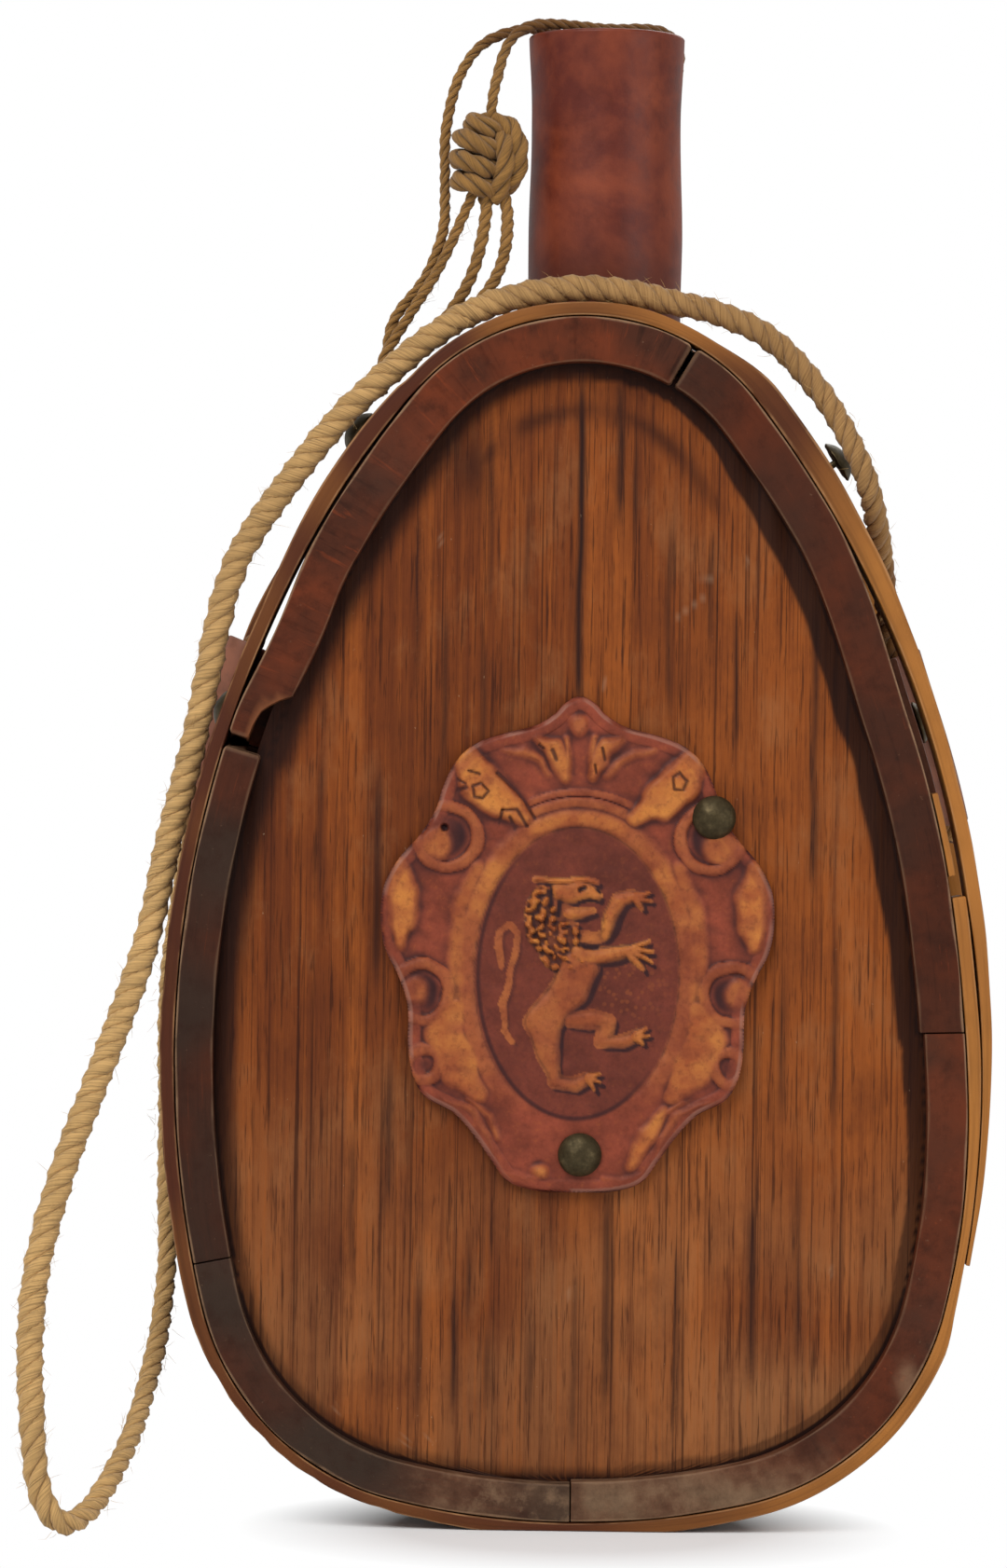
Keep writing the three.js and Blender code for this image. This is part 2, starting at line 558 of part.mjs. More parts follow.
// A strip of the hoops' width along the outline, with faces that may change on the way.
function strip(from, to, y, facesAt) {
  const run = new OutlineRun(from, to, y, (angle) => facesAt(angle)[0]);
  const steps = Math.max(2, Math.round(run.getLength() / SWEEP_STEP));
  const half = HOOP_WIDTH / 2;
  const corners = [];
  for (let i = 0; i <= steps; i += 1) {
    const angle = lerp(from, to, run.getUtoTmapping(i / steps));
    const [inside, outside] = facesAt(angle);
    corners.push(outlinePoint(angle, inside, y - half), outlinePoint(angle, inside, y + half));
    corners.push(outlinePoint(angle, outside, y + half), outlinePoint(angle, outside, y - half));
  }
  const last = 4 * steps;
  const faces = [0, 1, 2, 0, 2, 3, last + 3, last + 2, last + 1, last + 3, last + 1, last];
  for (let first = 0; first < last; first += 4) {
    for (let k = 0; k < 4; k += 1) {
      const a = first + k;
      const b = first + ((k + 1) % 4);
      faces.push(a, a + 4, b + 4, a, b + 4, b);
    }
  }
  const geometry = new THREE.BufferGeometry().setFromPoints(corners);
  geometry.setIndex(faces);
  geometry.computeVertexNormals();
  return geometry;
}

// One hoop round the barrel, cut flat at the foot and pierced for its tacks.
function hoop(face, facesAt, holes) {
  const end = degToRad(LAP_INNER_ANGLE + 360);
  const below = new THREE.BoxGeometry(BARREL_WIDTH, 4 * HALF_DEPTH, BARREL_WIDTH);
  below.translate(0, 0, -BARREL_WIDTH / 2);
  return cut(strip(degToRad(LAP_OUTER_ANGLE), end, face * HOOP_MIDDLE, facesAt), [below, ...holes]);
}

function buildHoops() {
  const holes = holesFor('shoulder_tack_left', 'shoulder_tack_right');
  addPiece('hoop_front', hoop(-1, frontHoopFaces, holes), HOOP_WOOD);
  addPiece('hoop_back', hoop(1, backHoopFaces, []), HOOP_WOOD);
  const start = degToRad(LAP_INNER_ANGLE) + SHIM_GAP / SIDE_RADIUS;
  const end = start + SHIM_LENGTH / SIDE_RADIUS;
  const packing = strip(start, end, -HOOP_MIDDLE, (angle) => {
    const inside = FIT + ringOffset(angle);
    return [inside, inside + SHIM_THICKNESS];
  });
  addPiece('hoop_packing', packing, HOOP_WOOD);
}

// Neck
function buildNeck() {
  const bore = SPOUT_BORE / 2;
  const seat = CROWN_TOP - SPOUT_SEAT_DEPTH + FIT;
  const spoutTop = NECK_TOP - SPOUT_BELOW_SLEEVE;
  const spoutRadius = SPOUT_DIAMETER / 2;
  addPiece('spout', turned([
    [bore, seat - SPIGOT_LENGTH], [SPOUT_SPIGOT / 2, seat - SPIGOT_LENGTH], [SPOUT_SPIGOT / 2, seat],
    [spoutRadius, seat], [spoutRadius, spoutTop], [bore, spoutTop], [bore, seat - SPIGOT_LENGTH],
  ], NECK_OFFSET), SPOUT_WOOD);

  const skirt = CROWN_TOP - SLEEVE_SKIRT;
  const swell = SLEEVE_SWELL.map(([flare, height]) => (
    [SLEEVE_WAIST + flare * SLEEVE_FLARE, lerp(CROWN_TOP, NECK_TOP, height)]
  ));
  const sleeve = turned([
    [SLEEVE_INSIDE, skirt], [SLEEVE_WAIST, skirt], ...swell,
    [SLEEVE_WAIST + SLEEVE_FLARE, NECK_TOP - SLEEVE_FLARE], [SLEEVE_WAIST, NECK_TOP],
    [SLEEVE_INSIDE, NECK_TOP], [SLEEVE_INSIDE, skirt],
  ], NECK_OFFSET);
  const barrel = board(ringShape(FIT, BARREL_CUTS), -HALF_DEPTH, HALF_DEPTH);
  addPiece('neck_sleeve', cut(sleeve, [barrel]), NECK_LEATHER);

  const plugTop = bore - FIT;
  const headRadius = spoutRadius - FIT;
  const under = spoutTop + FIT;
  const tip = under - STOPPER_PLUG_LENGTH;
  const headTop = NECK_TOP - STOPPER_HEAD_BELOW;
  const edge = headTop - STOPPER_TAPER;
  addPiece('stopper', turned([
    [0, tip], [plugTop - 2 * STOPPER_TAPER, tip], [plugTop - STOPPER_TAPER, tip + STOPPER_TAPER],
    [plugTop, under], [headRadius, under], [headRadius, edge - STOPPER_TAPER],
    [headRadius - STOPPER_TAPER, edge], [0, headTop],
  ], NECK_OFFSET), CORK);
}

// Crest
function crestShape() {
  const right = CREST_HALF.map(([x, z]) => new THREE.Vector2(x, CREST_HEIGHT + z));
  const left = CREST_HALF.slice(1, -1).reverse().map(([x, z]) => new THREE.Vector2(-x, CREST_HEIGHT + z));
  const round = new THREE.SplineCurve([...right, ...left, right[0]]);
  const points = round.getPoints(CREST_CUTS * (right.length + left.length));
  points.pop();
  return new THREE.Shape(points);
}

function buildCrest() {
  const back = -HEAD_FACE - FIT;
  const face = back - CREST_THICKNESS;
  const field = new THREE.Shape();
  field.absellipse(0, CREST_HEIGHT, CREST_FIELD_WIDTH / 2, CREST_FIELD_HEIGHT / 2, 0, 2 * Math.PI);
  const fieldTool = new THREE.ExtrudeGeometry(field, {
    depth: 2 * CREST_FIELD_DEPTH,
    curveSegments: TURN_CUTS / 2,
    bevelEnabled: false,
  });
  fieldTool.rotateX(RIGHT_ANGLE).translate(0, face + CREST_FIELD_DEPTH, 0);
  const emptyHole = tackHole(crestPlace(CREST_EMPTY_HOLE));
  const crest = cut(board(crestShape(), face, back), [
    fieldTool, emptyHole, ...holesFor('crest_tack_upper', 'crest_tack_lower'),
  ]);
  addPiece('crest', crest, CREST_LEATHER);
}

function buildTacks() {
  for (const [name, place] of Object.entries(TACKS)) {
    const tack = addPiece(name, tackGeometry(), ANTIQUE_BRASS);
    place.decompose(tack.position, tack.quaternion, tack.scale);
  }
}

// Keepers: a strap with an arch in its middle that the rope runs through.
function keeperSection() {
  const half = KEEPER_WIDTH / 2;
  const tunnel = ROPE_DIAMETER / 2 + 2 * FIT;
  const arch = tunnel + KEEPER_THICKNESS;
  const middle = FIT + tunnel;
  const top = FIT + KEEPER_THICKNESS;
  const shape = new THREE.Shape();
  shape.moveTo(-half, FIT);
  shape.lineTo(-tunnel, FIT);
  shape.absarc(0, middle, tunnel, Math.PI, 0, true);
  shape.lineTo(tunnel, FIT);
  shape.lineTo(half, FIT);
  shape.lineTo(half, top);
  shape.lineTo(arch, top);
  shape.absarc(0, middle, arch, 0, Math.PI, false);
  shape.lineTo(-arch, top);
  shape.lineTo(-half, top);
  return shape;
}

function buildKeepers() {
  const half = KEEPER_HEIGHT / 2 / SIDE_RADIUS;
  const right = degToRad(KEEPER_ANGLE);
  for (const [name, middle] of [['left', Math.PI - right], ['right', right]]) {
    const strap = sweep(keeperSection(), new OutlineRun(middle - half, middle + half, 0, ringOffset));
    const holes = holesFor(`keeper_tack_${name}_front`, `keeper_tack_${name}_back`);
    addPiece(`keeper_${name}`, cut(strap, holes), KEEPER_LEATHER);
  }
}

// Cords
function tube(path, diameter, steps, halfSides) {
  const section = new THREE.Shape().absarc(0, 0, diameter / 2, 0, 2 * Math.PI, false);
  return new THREE.ExtrudeGeometry(section, { steps, extrudePath: path, curveSegments: halfSides });
}

function cordTube(points, diameter, stepLength, halfSides) {
  const route = new THREE.CatmullRomCurve3(points.map((point) => new THREE.Vector3(...point)));
  route.arcLengthDivisions = LENGTH_SAMPLES;
  return tube(route, diameter, Math.round(route.getLength() / stepLength), halfSides);
}

// An overhand knot, drawn as a trefoil that is open between its two ends.
class KnotPath extends THREE.Curve {
  getPoint(t, target = new THREE.Vector3()) {
    const turn = 2 * Math.PI * KNOT_ROUNDS * lerp(KNOT_OPEN_ENDS, 1 - KNOT_OPEN_ENDS, t);
    const lobe = turn * KNOT_LOBES / KNOT_ROUNDS;
    const reach = KNOT_RADIUS * (1 + Math.cos(lobe) / 2);
    const depth = KNOT_RADIUS * Math.sin(lobe) / 2;
    const [x, y, z] = KNOT_CENTRE;
    return target.set(x + reach * Math.cos(turn), y + depth, z + KNOT_STRETCH * reach * Math.sin(turn));
  }
}

// The least gap between stretches of a path that aren't neighbours along it.
function leastGap(path, diameter) {
  const points = path.getSpacedPoints(GAP_SAMPLES);
  const spacing = path.getLength() / GAP_SAMPLES;
  const apart = Math.ceil(2 * diameter / spacing);
  let least = Infinity;
  points.forEach((point, i) => {
    points.slice(i + apart).forEach((other) => {
      least = Math.min(least, point.distanceTo(other) - diameter);
    });
  });
  return least;
}

function buildCords() {
  addPiece('rope_sling', cordTube(ROPE_POINTS, ROPE_DIAMETER, ROPE_STEP, ROPE_HALF_SIDES), SISAL);
  const twines = {
    twine_tie: TWINE_TIE_POINTS,
    twine_leg: TWINE_LEG_POINTS,
    twine_tail_long: TWINE_TAIL_LONG_POINTS,
    twine_tail_short: TWINE_TAIL_SHORT_POINTS,
  };
  for (const [name, points] of Object.entries(twines)) {
    addPiece(name, cordTube(points, TWINE_DIAMETER, TWINE_STEP, TWINE_HALF_SIDES), TWINE);
  }
  const path = new KnotPath();
  addPiece('twine_knot', tube(path, KNOT_STRAND, KNOT_STEPS, TWINE_HALF_SIDES), TWINE);
  console.log(`twine_knot: least gap to itself ${leastGap(path, KNOT_STRAND).toFixed(2)} mm`);
}

buildStaves();
buildHeads();
buildHoops();
buildNeck();
buildCrest();
buildTacks();
buildKeepers();
buildCords();

export default canteen;
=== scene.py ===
"""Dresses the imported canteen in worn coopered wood, embossed leather, antique tacks, laid rope and twine.

Everything is in metres in the frame's own axes: +Z up, the front towards -Y.
"""
import math

import bmesh
import bpy
import numpy as np
from bpy.props import FloatProperty, FloatVectorProperty, PointerProperty
from bpy.types import Operator, Panel, PropertyGroup
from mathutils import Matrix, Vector


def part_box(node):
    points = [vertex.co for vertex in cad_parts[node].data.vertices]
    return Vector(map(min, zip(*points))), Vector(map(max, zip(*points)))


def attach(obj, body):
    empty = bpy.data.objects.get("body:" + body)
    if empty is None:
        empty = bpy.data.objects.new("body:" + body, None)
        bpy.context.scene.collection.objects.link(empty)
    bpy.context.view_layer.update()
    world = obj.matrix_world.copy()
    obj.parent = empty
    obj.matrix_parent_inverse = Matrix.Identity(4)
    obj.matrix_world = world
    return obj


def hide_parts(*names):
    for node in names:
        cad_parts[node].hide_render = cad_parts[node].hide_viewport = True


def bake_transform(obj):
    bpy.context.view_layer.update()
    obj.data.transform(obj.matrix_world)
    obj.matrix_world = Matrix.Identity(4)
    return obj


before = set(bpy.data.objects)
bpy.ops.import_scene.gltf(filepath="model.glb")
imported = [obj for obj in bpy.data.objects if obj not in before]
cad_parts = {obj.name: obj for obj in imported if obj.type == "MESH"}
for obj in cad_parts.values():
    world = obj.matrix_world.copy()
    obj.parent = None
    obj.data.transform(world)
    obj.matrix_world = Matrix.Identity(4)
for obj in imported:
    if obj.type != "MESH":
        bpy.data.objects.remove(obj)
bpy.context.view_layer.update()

bl_info = {
    "name": "Wooden canteen",
    "version": (1, 0, 0),
    "blender": (4, 5, 0),
    "location": "View3D > Sidebar > Canteen",
    "description": "Makes the visible pieces and finishes of a coopered wooden canteen",
    "category": "Object",
}

MM = 0.001
QUARTER = math.pi / 2
WHOLE = 2 * math.pi
BODY = "canteen"
STOPPER_BODY = "stopper"

# Places taken from the frame; the neck stands a little higher.
NECK_RISE = 1.3 * MM
HALF_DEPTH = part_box("stave_crown")[1][1]
HEAD_FACE = -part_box("head_front")[0][1]
HEAD_INSIDE = -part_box("head_front")[1][1]
NECK_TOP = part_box("neck_sleeve")[1][2] + NECK_RISE
SPOUT_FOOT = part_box("spout")[0][2]
SPOUT_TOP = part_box("spout")[1][2]
STOPPER_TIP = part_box("stopper")[0][2]
STOPPER_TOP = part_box("stopper")[1][2]
CREST_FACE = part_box("crest")[0][1]
CREST_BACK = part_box("crest")[1][1]

# Staves: node, joints in degrees round the outline, thickness in millimetres, and shares of greyness,
# of grain across the rim and of shade.
STAVES = (
    ("stave_crown", 60.0, 162.8, 10.6, 0.0, 1.0, 0.0),
    ("stave_upper_right", 1.6, 60.0, 10.4, 0.4, 0.3, 0.35),
    ("stave_lower_right", -90.0, 1.6, 9.4, 0.3, 0.6, 0.0),
    ("stave_lower_left", 191.5, 270.0, 8.8, 0.9, 0.2, 0.1),
    ("stave_upper_left", 162.8, 191.5, 8.8, 0.75, 0.0, 0.4),
)
# Joints that have opened at the front: degrees round the outline, and the gap there in millimetres.
OPEN_JOINTS = {60.0: 1.2, 162.8: 3.0}
# Where the right-hand staves begin to shrink in from the hoops and have fully done so, in degrees.
SHRINK_BELOW = (31.0, 19.0)
SHRINK_ABOVE = (-12.0, 7.0)

# Hoops: places round the outline in degrees.
LAP_OUTER_END = -10.9
LAP_INNER_END = 9.0
BULGE_FRONT_AT = 147.5
BULGE_BACK_AT = 155.5
BULGE_REACH = 10.0
SWOLLEN_AT = 36.0
SWOLLEN_REACH = 22.0

# Dark grain lines on the front head: x, lower end, upper end and width in millimetres, and strength.
GRAIN_LINES = (
    (-0.4, 192, 268, 0.9, 1.0), (8.6, 236, 270, 1.0, 0.8), (12.4, 232, 254, 0.8, 0.6),
    (-21.5, 215, 262, 0.8, 0.5), (8.0, 28, 78, 1.1, 0.7), (41.9, 34, 74, 1.0, 0.7),
    (-27.6, 28, 54, 1.0, 0.7), (-20.0, 28, 46, 0.9, 0.6), (-9.8, 26, 46, 0.9, 0.5),
    (-43.6, 74, 108, 0.9, 0.7), (-24.4, 46, 68, 0.8, 0.6), (55.0, 150, 216, 1.1, 0.7),
    (-47.0, 128, 176, 1.2, 0.7), (48.2, 96, 128, 0.9, 0.5), (-60.5, 150, 180, 0.9, 0.5),
    (30.5, 206, 232, 0.8, 0.5), (-31.8, 178, 214, 0.8, 0.7), (-38.4, 196, 236, 0.7, 0.5),
    (-13.0, 214, 242, 0.7, 0.5), (-22.6, 182, 206, 0.8, 0.6), (20.6, 190, 236, 0.8, 0.6),
    (36.4, 182, 214, 0.8, 0.6), (-52.0, 60, 92, 0.9, 0.6), (24.4, 24, 66, 0.9, 0.6),
    (60.5, 96, 140, 0.9, 0.6), (-36.0, 26, 58, 0.9, 0.6), (0.6, 20, 60, 0.8, 0.5), (52.6, 40, 84, 0.9, 0.5),
)
# Pale scratches on the front head: both ends as [x, height], in millimetres.
SCRATCHES = (
    ((22.5, 213.5), (25.0, 215.5)), ((26.0, 216.2), (29.0, 218.5)), ((-33.0, 230.0), (-33.4, 232.4)),
    ((27.0, 222.0), (30.5, 222.4)), ((5.4, 196.0), (5.8, 199.0)), ((-55.2, 25.8), (-54.8, 27.6)),
    ((-38.9, 18.4), (-38.6, 20.8)), ((-33.6, 20.0), (-33.4, 20.8)), ((-0.9, 54.0), (-0.9, 55.4)),
    ((38.6, 226.0), (38.8, 227.4)), ((60.6, 60.0), (60.2, 61.8)),
)

# Half of the crest's outline as [half width, height above the oval's middle], in millimetres.
CREST_HALF = (
    (0, 65.2), (3.4, 63.6), (6.4, 60.6), (11, 58), (18, 56.2), (24.6, 53.6), (29, 49.4), (31.8, 43.6),
    (33.6, 38), (37, 32.4), (42, 26.6), (45.4, 20), (46, 12), (44.8, 5.4), (41.6, -1), (39.4, -8),
    (39.2, -17), (38, -24), (35, -29), (28.4, -32.6), (23.4, -38), (19.4, -43.6), (15.6, -48.4), (9, -50.6),
    (0, -51),
)
CREST_TACKS = {"crest_tack_upper": (31.6, 37.2), "crest_tack_lower": (1.2, -42.0)}
CREST_EMPTY_HOLE = (-31.4, 34.0)

# The crest's raised work: rise, share of tan, and a chain of (x, z, radius), in millimetres from the oval's
# middle. The left half is mirrored, apart from the patches and marks.
SCROLLWORK = (
    (0.85, 1.0, ((-26.0, 49.4, 3.8), (-23.4, 44.8, 5.4), (-18.6, 40.6, 4.6), (-13.0, 36.6, 2.2))),
    (0.75, 0.85, ((-9.8, 55.2, 1.2), (-6.2, 53.0, 2.4), (-4.2, 49.8, 2.7), (-3.2, 46.4, 1.7))),
    (0.6, 0.8, ((-3.6, 55.2, 0.9), (-2.8, 51.6, 1.3), (-2.6, 48.2, 1.1))),
    (0.5, 0.7, ((-17.8, 52.4, 0.8), (-12.8, 52.0, 1.4), (-9.0, 49.8, 1.4), (-6.8, 46.8, 1.0))),
    (0.75, 0.95, ((-41.6, 25.4, 2.2), (-40.8, 18.6, 4.2), (-40.8, 12.0, 3.8), (-41.6, 7.0, 2.0))),
    (0.3, 0.5, ((-23.4, 24.6, 2.2), (-27.4, 15.0, 2.8), (-28.2, 4.0, 2.8), (-28.0, -6.0, 2.8))),
    (0.45, 0.7, ((-28.0, -7.6, 2.6), (-30.4, -14.6, 5.4), (-27.2, -21.6, 5.4), (-23.0, -27.6, 2.8))),
    (0.5, 0.5, ((-31.0, -29.4, 0.9), (-24.0, -32.2, 1.4), (-20.4, -38.0, 1.2), (-19.4, -42.0, 0.8))),
    (0.5, 0.6, ((-25.0, -29.4, 0.8), (-19.8, -33.2, 1.2), (-17.8, -38.4, 1.0))),
    (0.4, 0.2, ((-18.6, -41.0, 0.8), (-15.8, -46.0, 1.1), (-11.0, -48.2, 1.0), (-6.6, -47.4, 0.7))),
)
SCROLL_PATCHES = (
    (0.7, 0.7, ((-8.2, -46.0, 2.0), (-7.8, -46.2, 2.0))),
    (0.5, 0.9, ((20.8, -31.6, 1.6), (17.0, -37.4, 2.8), (13.2, -44.4, 1.6))),
    (0.7, 0.3, ((-0.4, 58.6, 2.7), (0.0, 58.6, 2.7))),
)
# Discs: rise, share of tan, x, z and radius. Hollows: depth, x, z and radius.
SCROLL_DISCS = ((0.5, 0.55, -33.2, 30.4, 4.4), (0.5, 0.4, -38.0, -4.0, 3.8))
SCROLL_HOLLOWS = ((-1.0, -30.8, 32.0, 5.8), (-0.95, -36.4, -4.4, 5.4), (-0.7, -35.6, -21.3, 2.3))
# Sunk ground: depth and chain. Marks: the points of incised lines.
SCROLL_SUNK = (
    (-0.45, ((-7.8, 45.0, 1.6), (-12.0, 47.2, 2.6), (-17.0, 47.4, 1.8))),
    (-0.35, ((-33.8, 21.0, 2.2), (-34.6, 13.0, 2.6), (-33.6, 4.6, 2.0))),
    (-0.35, ((-14.8, -34.6, 1.8), (-11.6, -41.0, 2.2))),
)
SCROLL_MARKS = (
    ((-25.2, 43.8), (-23.0, 44.6), (-21.0, 42.6), (-22.6, 40.8), (-24.8, 41.4), (-25.2, 43.8)),
    ((-28.4, 44.8), (-26.8, 44.2)), ((-28.2, 42.6), (-26.6, 43.4)), ((-25.6, 47.6), (-23.2, 46.8)),
    ((-19.0, 47.0), (-14.6, 42.6), (-10.6, 36.8)), ((-17.6, 38.6), (-14.6, 38.2), (-12.2, 34.8)),
    ((-17.6, 38.6), (-18.4, 34.8)), ((-16.0, 36.6), (-14.8, 34.2)),
    ((21.6, 46.6), (23.4, 48.0), (25.4, 46.2), (24.6, 43.6), (22.4, 43.8), (21.6, 46.6)),
    ((-6.2, 52.4), (-5.4, 50.4)), ((-9.0, 53.6), (-8.0, 52.8)), ((5.4, 52.6), (6.2, 50.4)),
    ((3.6, 49.0), (4.2, 47.4)),
)

# A rampant lion, the heralds' usual figure: rise, share of tan, and a chain of (x, z, radius).
LION_BODY = (
    (1.2, 0.45, ((0.4, 1.6, 4.9), (-1.4, -3.4, 4.7), (-5.2, -7.6, 4.2), (-7.8, -11.6, 4.5))),
    (1.2, 0.4, ((-7.6, -12.4, 4.4), (-6.8, -17.2, 2.8), (-5.6, -21.4, 2.0), (-4.6, -24.4, 1.9))),
    (1.1, 0.45, ((-4.8, -25.0, 1.8), (-0.4, -25.6, 1.9), (3.4, -24.4, 1.6))),
    (1.0, 0.45, ((-1.4, -10.2, 2.2), (3.6, -10.6, 2.5), (7.2, -10.9, 2.1))),
    (1.0, 0.45, ((7.0, -11.8, 2.1), (6.4, -15.8, 1.7))),
    (1.1, 0.6, ((6.6, -16.0, 1.6), (11.0, -15.2, 1.9), (14.2, -13.8, 1.7))),
    (0.8, 0.35, ((-5.6, 14.6, 4.6), (-5.4, 9.4, 5.2), (-2.6, 4.8, 4.2))),
    (1.3, 0.95, ((-4.2, 19.4, 2.6), (-0.6, 19.6, 2.8), (2.4, 19.2, 2.4), (3.8, 18.6, 2.0))),
    (1.5, 0.9, ((-9.6, 22.0, 0.9), (-4.0, 22.0, 1.1), (1.0, 22.2, 1.0), (4.6, 21.6, 0.8))),
    (1.2, 0.85, ((-2.0, 14.4, 2.0), (0.8, 14.2, 1.5), (3.4, 14.8, 0.9))),
    (0.8, 0.6, ((1.2, 8.8, 1.6), (4.0, 8.6, 1.5), (6.6, 9.2, 1.6))),
    (1.3, 0.9, ((6.6, 9.4, 1.7), (7.8, 13.4, 2.1), (9.8, 17.6, 2.1), (12.8, 18.9, 1.7))),
    (1.4, 0.9, ((0.6, 4.6, 2.6), (6.0, 4.7, 2.2), (11.6, 5.4, 1.9))),
)
LION_LOCKS = (
    ((-8.4, 19.6, 1.2), (-10.4, 16.6, 1.5), (-11.4, 13.4, 1.1)),
    ((-7.6, 17.0, 1.0), (-8.6, 13.8, 1.4), (-9.0, 11.0, 1.0)),
    ((-11.2, 12.0, 1.1), (-10.4, 8.4, 1.4), (-8.8, 6.0, 1.0)),
    ((-8.4, 9.8, 1.1), (-7.4, 6.4, 1.3), (-5.8, 4.2, 1.0)),
    ((-8.2, 4.6, 1.0), (-6.2, 2.4, 1.2), (-4.2, 1.0, 0.9)),
    ((-5.6, 15.2, 1.0), (-5.8, 11.8, 1.2), (-5.4, 9.0, 0.9)),
    ((-3.2, 12.0, 1.0), (-3.4, 9.0, 1.2), (-3.0, 6.4, 0.9)),
    ((-4.6, 6.8, 1.0), (-3.2, 3.8, 1.2), (-1.4, 1.8, 0.9)),
    ((-0.6, 11.4, 1.0), (-0.6, 8.8, 1.1), (0.4, 6.8, 0.9)),
    ((-1.8, 6.4, 0.9), (-0.4, 4.4, 1.0), (1.0, 3.2, 0.8)),
)
# Claws: the paw's place and the claws' tips.
LION_CLAWS = (
    ((13.0, 18.8), ((16.6, 19.4), (16.8, 17.2), (15.0, 15.4))),
    ((12.0, 5.4), ((16.2, 8.0), (17.4, 5.8), (17.2, 3.2), (15.4, 1.2))),
    ((3.2, -24.4), ((5.8, -23.0), (6.0, -25.0), (4.6, -26.8))),
    ((14.0, -13.8), ((16.4, -12.0), (16.8, -14.2), (15.8, -16.2))),
)
LION_TAIL = (
    (-17.6, 1.3, 0.7), (-18.4, 6.4, 0.8), (-18.2, 10.2, 0.8), (-16.2, 11.6, 0.8), (-14.0, 9.4, 0.8),
    (-14.4, 5.0, 0.9), (-15.6, -1.4, 0.9), (-17.2, -7.4, 0.9), (-17.0, -12.6, 0.9), (-14.6, -16.0, 0.7),
)
LION_HOLLOWS = (
    ((0.4, 19.8, 0.3), (1.6, 20.2, 0.3)), ((0.4, 16.6, 0.5), (3.0, 16.6, 0.7), (5.6, 16.4, 0.5)),
    ((-6.6, 20.6, 0.3), (-6.2, 16.4, 0.5)), ((-4.0, 17.0, 0.3), (-4.2, 14.0, 0.3)),
    ((1.8, 6.8, 0.4), (4.6, 6.8, 0.3)), ((4.6, 20.0, 0.2), (5.2, 19.4, 0.2)),
)

# Tacks in the wood: degrees round the outline, height over the staves and depth, in millimetres.
SIDE_TACKS = {
    "shoulder_tack_left": (144.8, 5.13, -24.5), "shoulder_tack_right": (33.2, 7.6, -24.5),
    "keeper_tack_left_front": (161.34, 3.0, -13.0), "keeper_tack_left_back": (161.34, 3.0, 13.0),
    "keeper_tack_right_front": (18.66, -0.5, -13.0), "keeper_tack_right_back": (18.66, -0.5, 13.0),
}
KEEPERS = {"keeper_left": 162.4, "keeper_right": 17.6}

# Cords: the strands, their share of the cord's radius, the loose hairs, and routes in millimetres.
STRANDS = 3
STRAND_SHARE = 0.49
FUZZ_RADIUS = 0.045 * MM
ROPE_POINTS = (
    (88.3, 0, 161.5), (85.2, 0, 174.1), (82.1, 0, 184.9), (78.5, 0, 196), (75, 0, 207.6), (73.3, -3.5, 215),
    (71.4, -14, 226.5), (68.6, -27, 238), (66.2, -32.8, 246), (63.0, -33.4, 253.6), (55.0, -31.5, 266.8),
    (42.4, -31, 279.6), (28.6, -31, 285.4), (21, -31, 286.9), (14, -31, 288.6), (1, -31, 290.1),
    (-13, -31, 288.7), (-28, -31, 283.5), (-44, -31, 271.6), (-57.4, -31, 258.5), (-72.4, -31, 239.1),
    (-80.6, -30.5, 225.8), (-84.6, -30, 212.7), (-89.6, -30, 186.3), (-95.8, -30, 160),
    (-101.3, -32.5, 133.8), (-110, -38, 107.8), (-118.8, -46, 82.2), (-124.2, -54, 57), (-124.1, -61, 31.8),
    (-120.9, -64, 9), (-116.5, -63, 3.6), (-111.5, -57, 5.2), (-104, -41, 17.2), (-99.6, -22, 32),
    (-96.8, -4, 53), (-97.2, 4, 90), (-97, 3, 128), (-91.6, 0, 162), (-85.3, 0, 185.7), (-81.5, 0, 196.9),
    (-77.4, 0, 208),
)
TWINE_TIE_POINTS = (
    (-22.8, -14.2, 328), (-22.4, -13.6, 335.5), (-21.2, -12.5, 342), (-18.6, -9.6, 350),
    (-13.5, -6.5, 354.5), (4, -1, 354.7), (18.6, 8.8, 355.1), (22.4, 14, 351.6), (21.2, 15.4, 342),
    (17.6, 18.4, 329), (11.5, 21.6, 318.5), (4.6, 22.8, 312.5), (-2, 22, 318.5), (-4.2, 20.4, 329),
    (-4.8, 20.4, 341), (-5.2, 20, 351.4), (-6.4, 16.4, 355.1), (-14.4, 3.8, 354.9), (-20, 2, 353.5),
    (-25.8, 0, 350), (-30.8, -2, 341.6), (-33.4, -4, 329.6), (-33.4, -8, 315.9), (-33.8, -12, 304.4),
    (-37.8, -15, 293.4), (-45.2, -16.6, 282.8), (-46.8, -17.6, 272.4), (-47.4, -19.4, 266),
)
TWINE_LEG_POINTS = (
    (-25.4, -14.2, 316.5), (-28.4, -14.6, 309.6), (-31.6, -15.8, 302), (-35.4, -17.6, 294),
    (-41, -20.2, 284.6), (-47.2, -22.6, 273.5), (-48.4, -24.8, 266.6),
)
TWINE_TAIL_LONG_POINTS = (
    (-23.2, -14.6, 315), (-23.6, -15.4, 308.4), (-24.6, -16.4, 302), (-26.4, -17.4, 295),
    (-29.4, -18.4, 288.6), (-33, -19, 283),
)
TWINE_TAIL_SHORT_POINTS = (
    (-20, -14.6, 316), (-18.6, -15.2, 309.4), (-18.6, -16.4, 303), (-20, -17.6, 296), (-23, -19, 290),
    (-26.2, -20.4, 286.2),
)
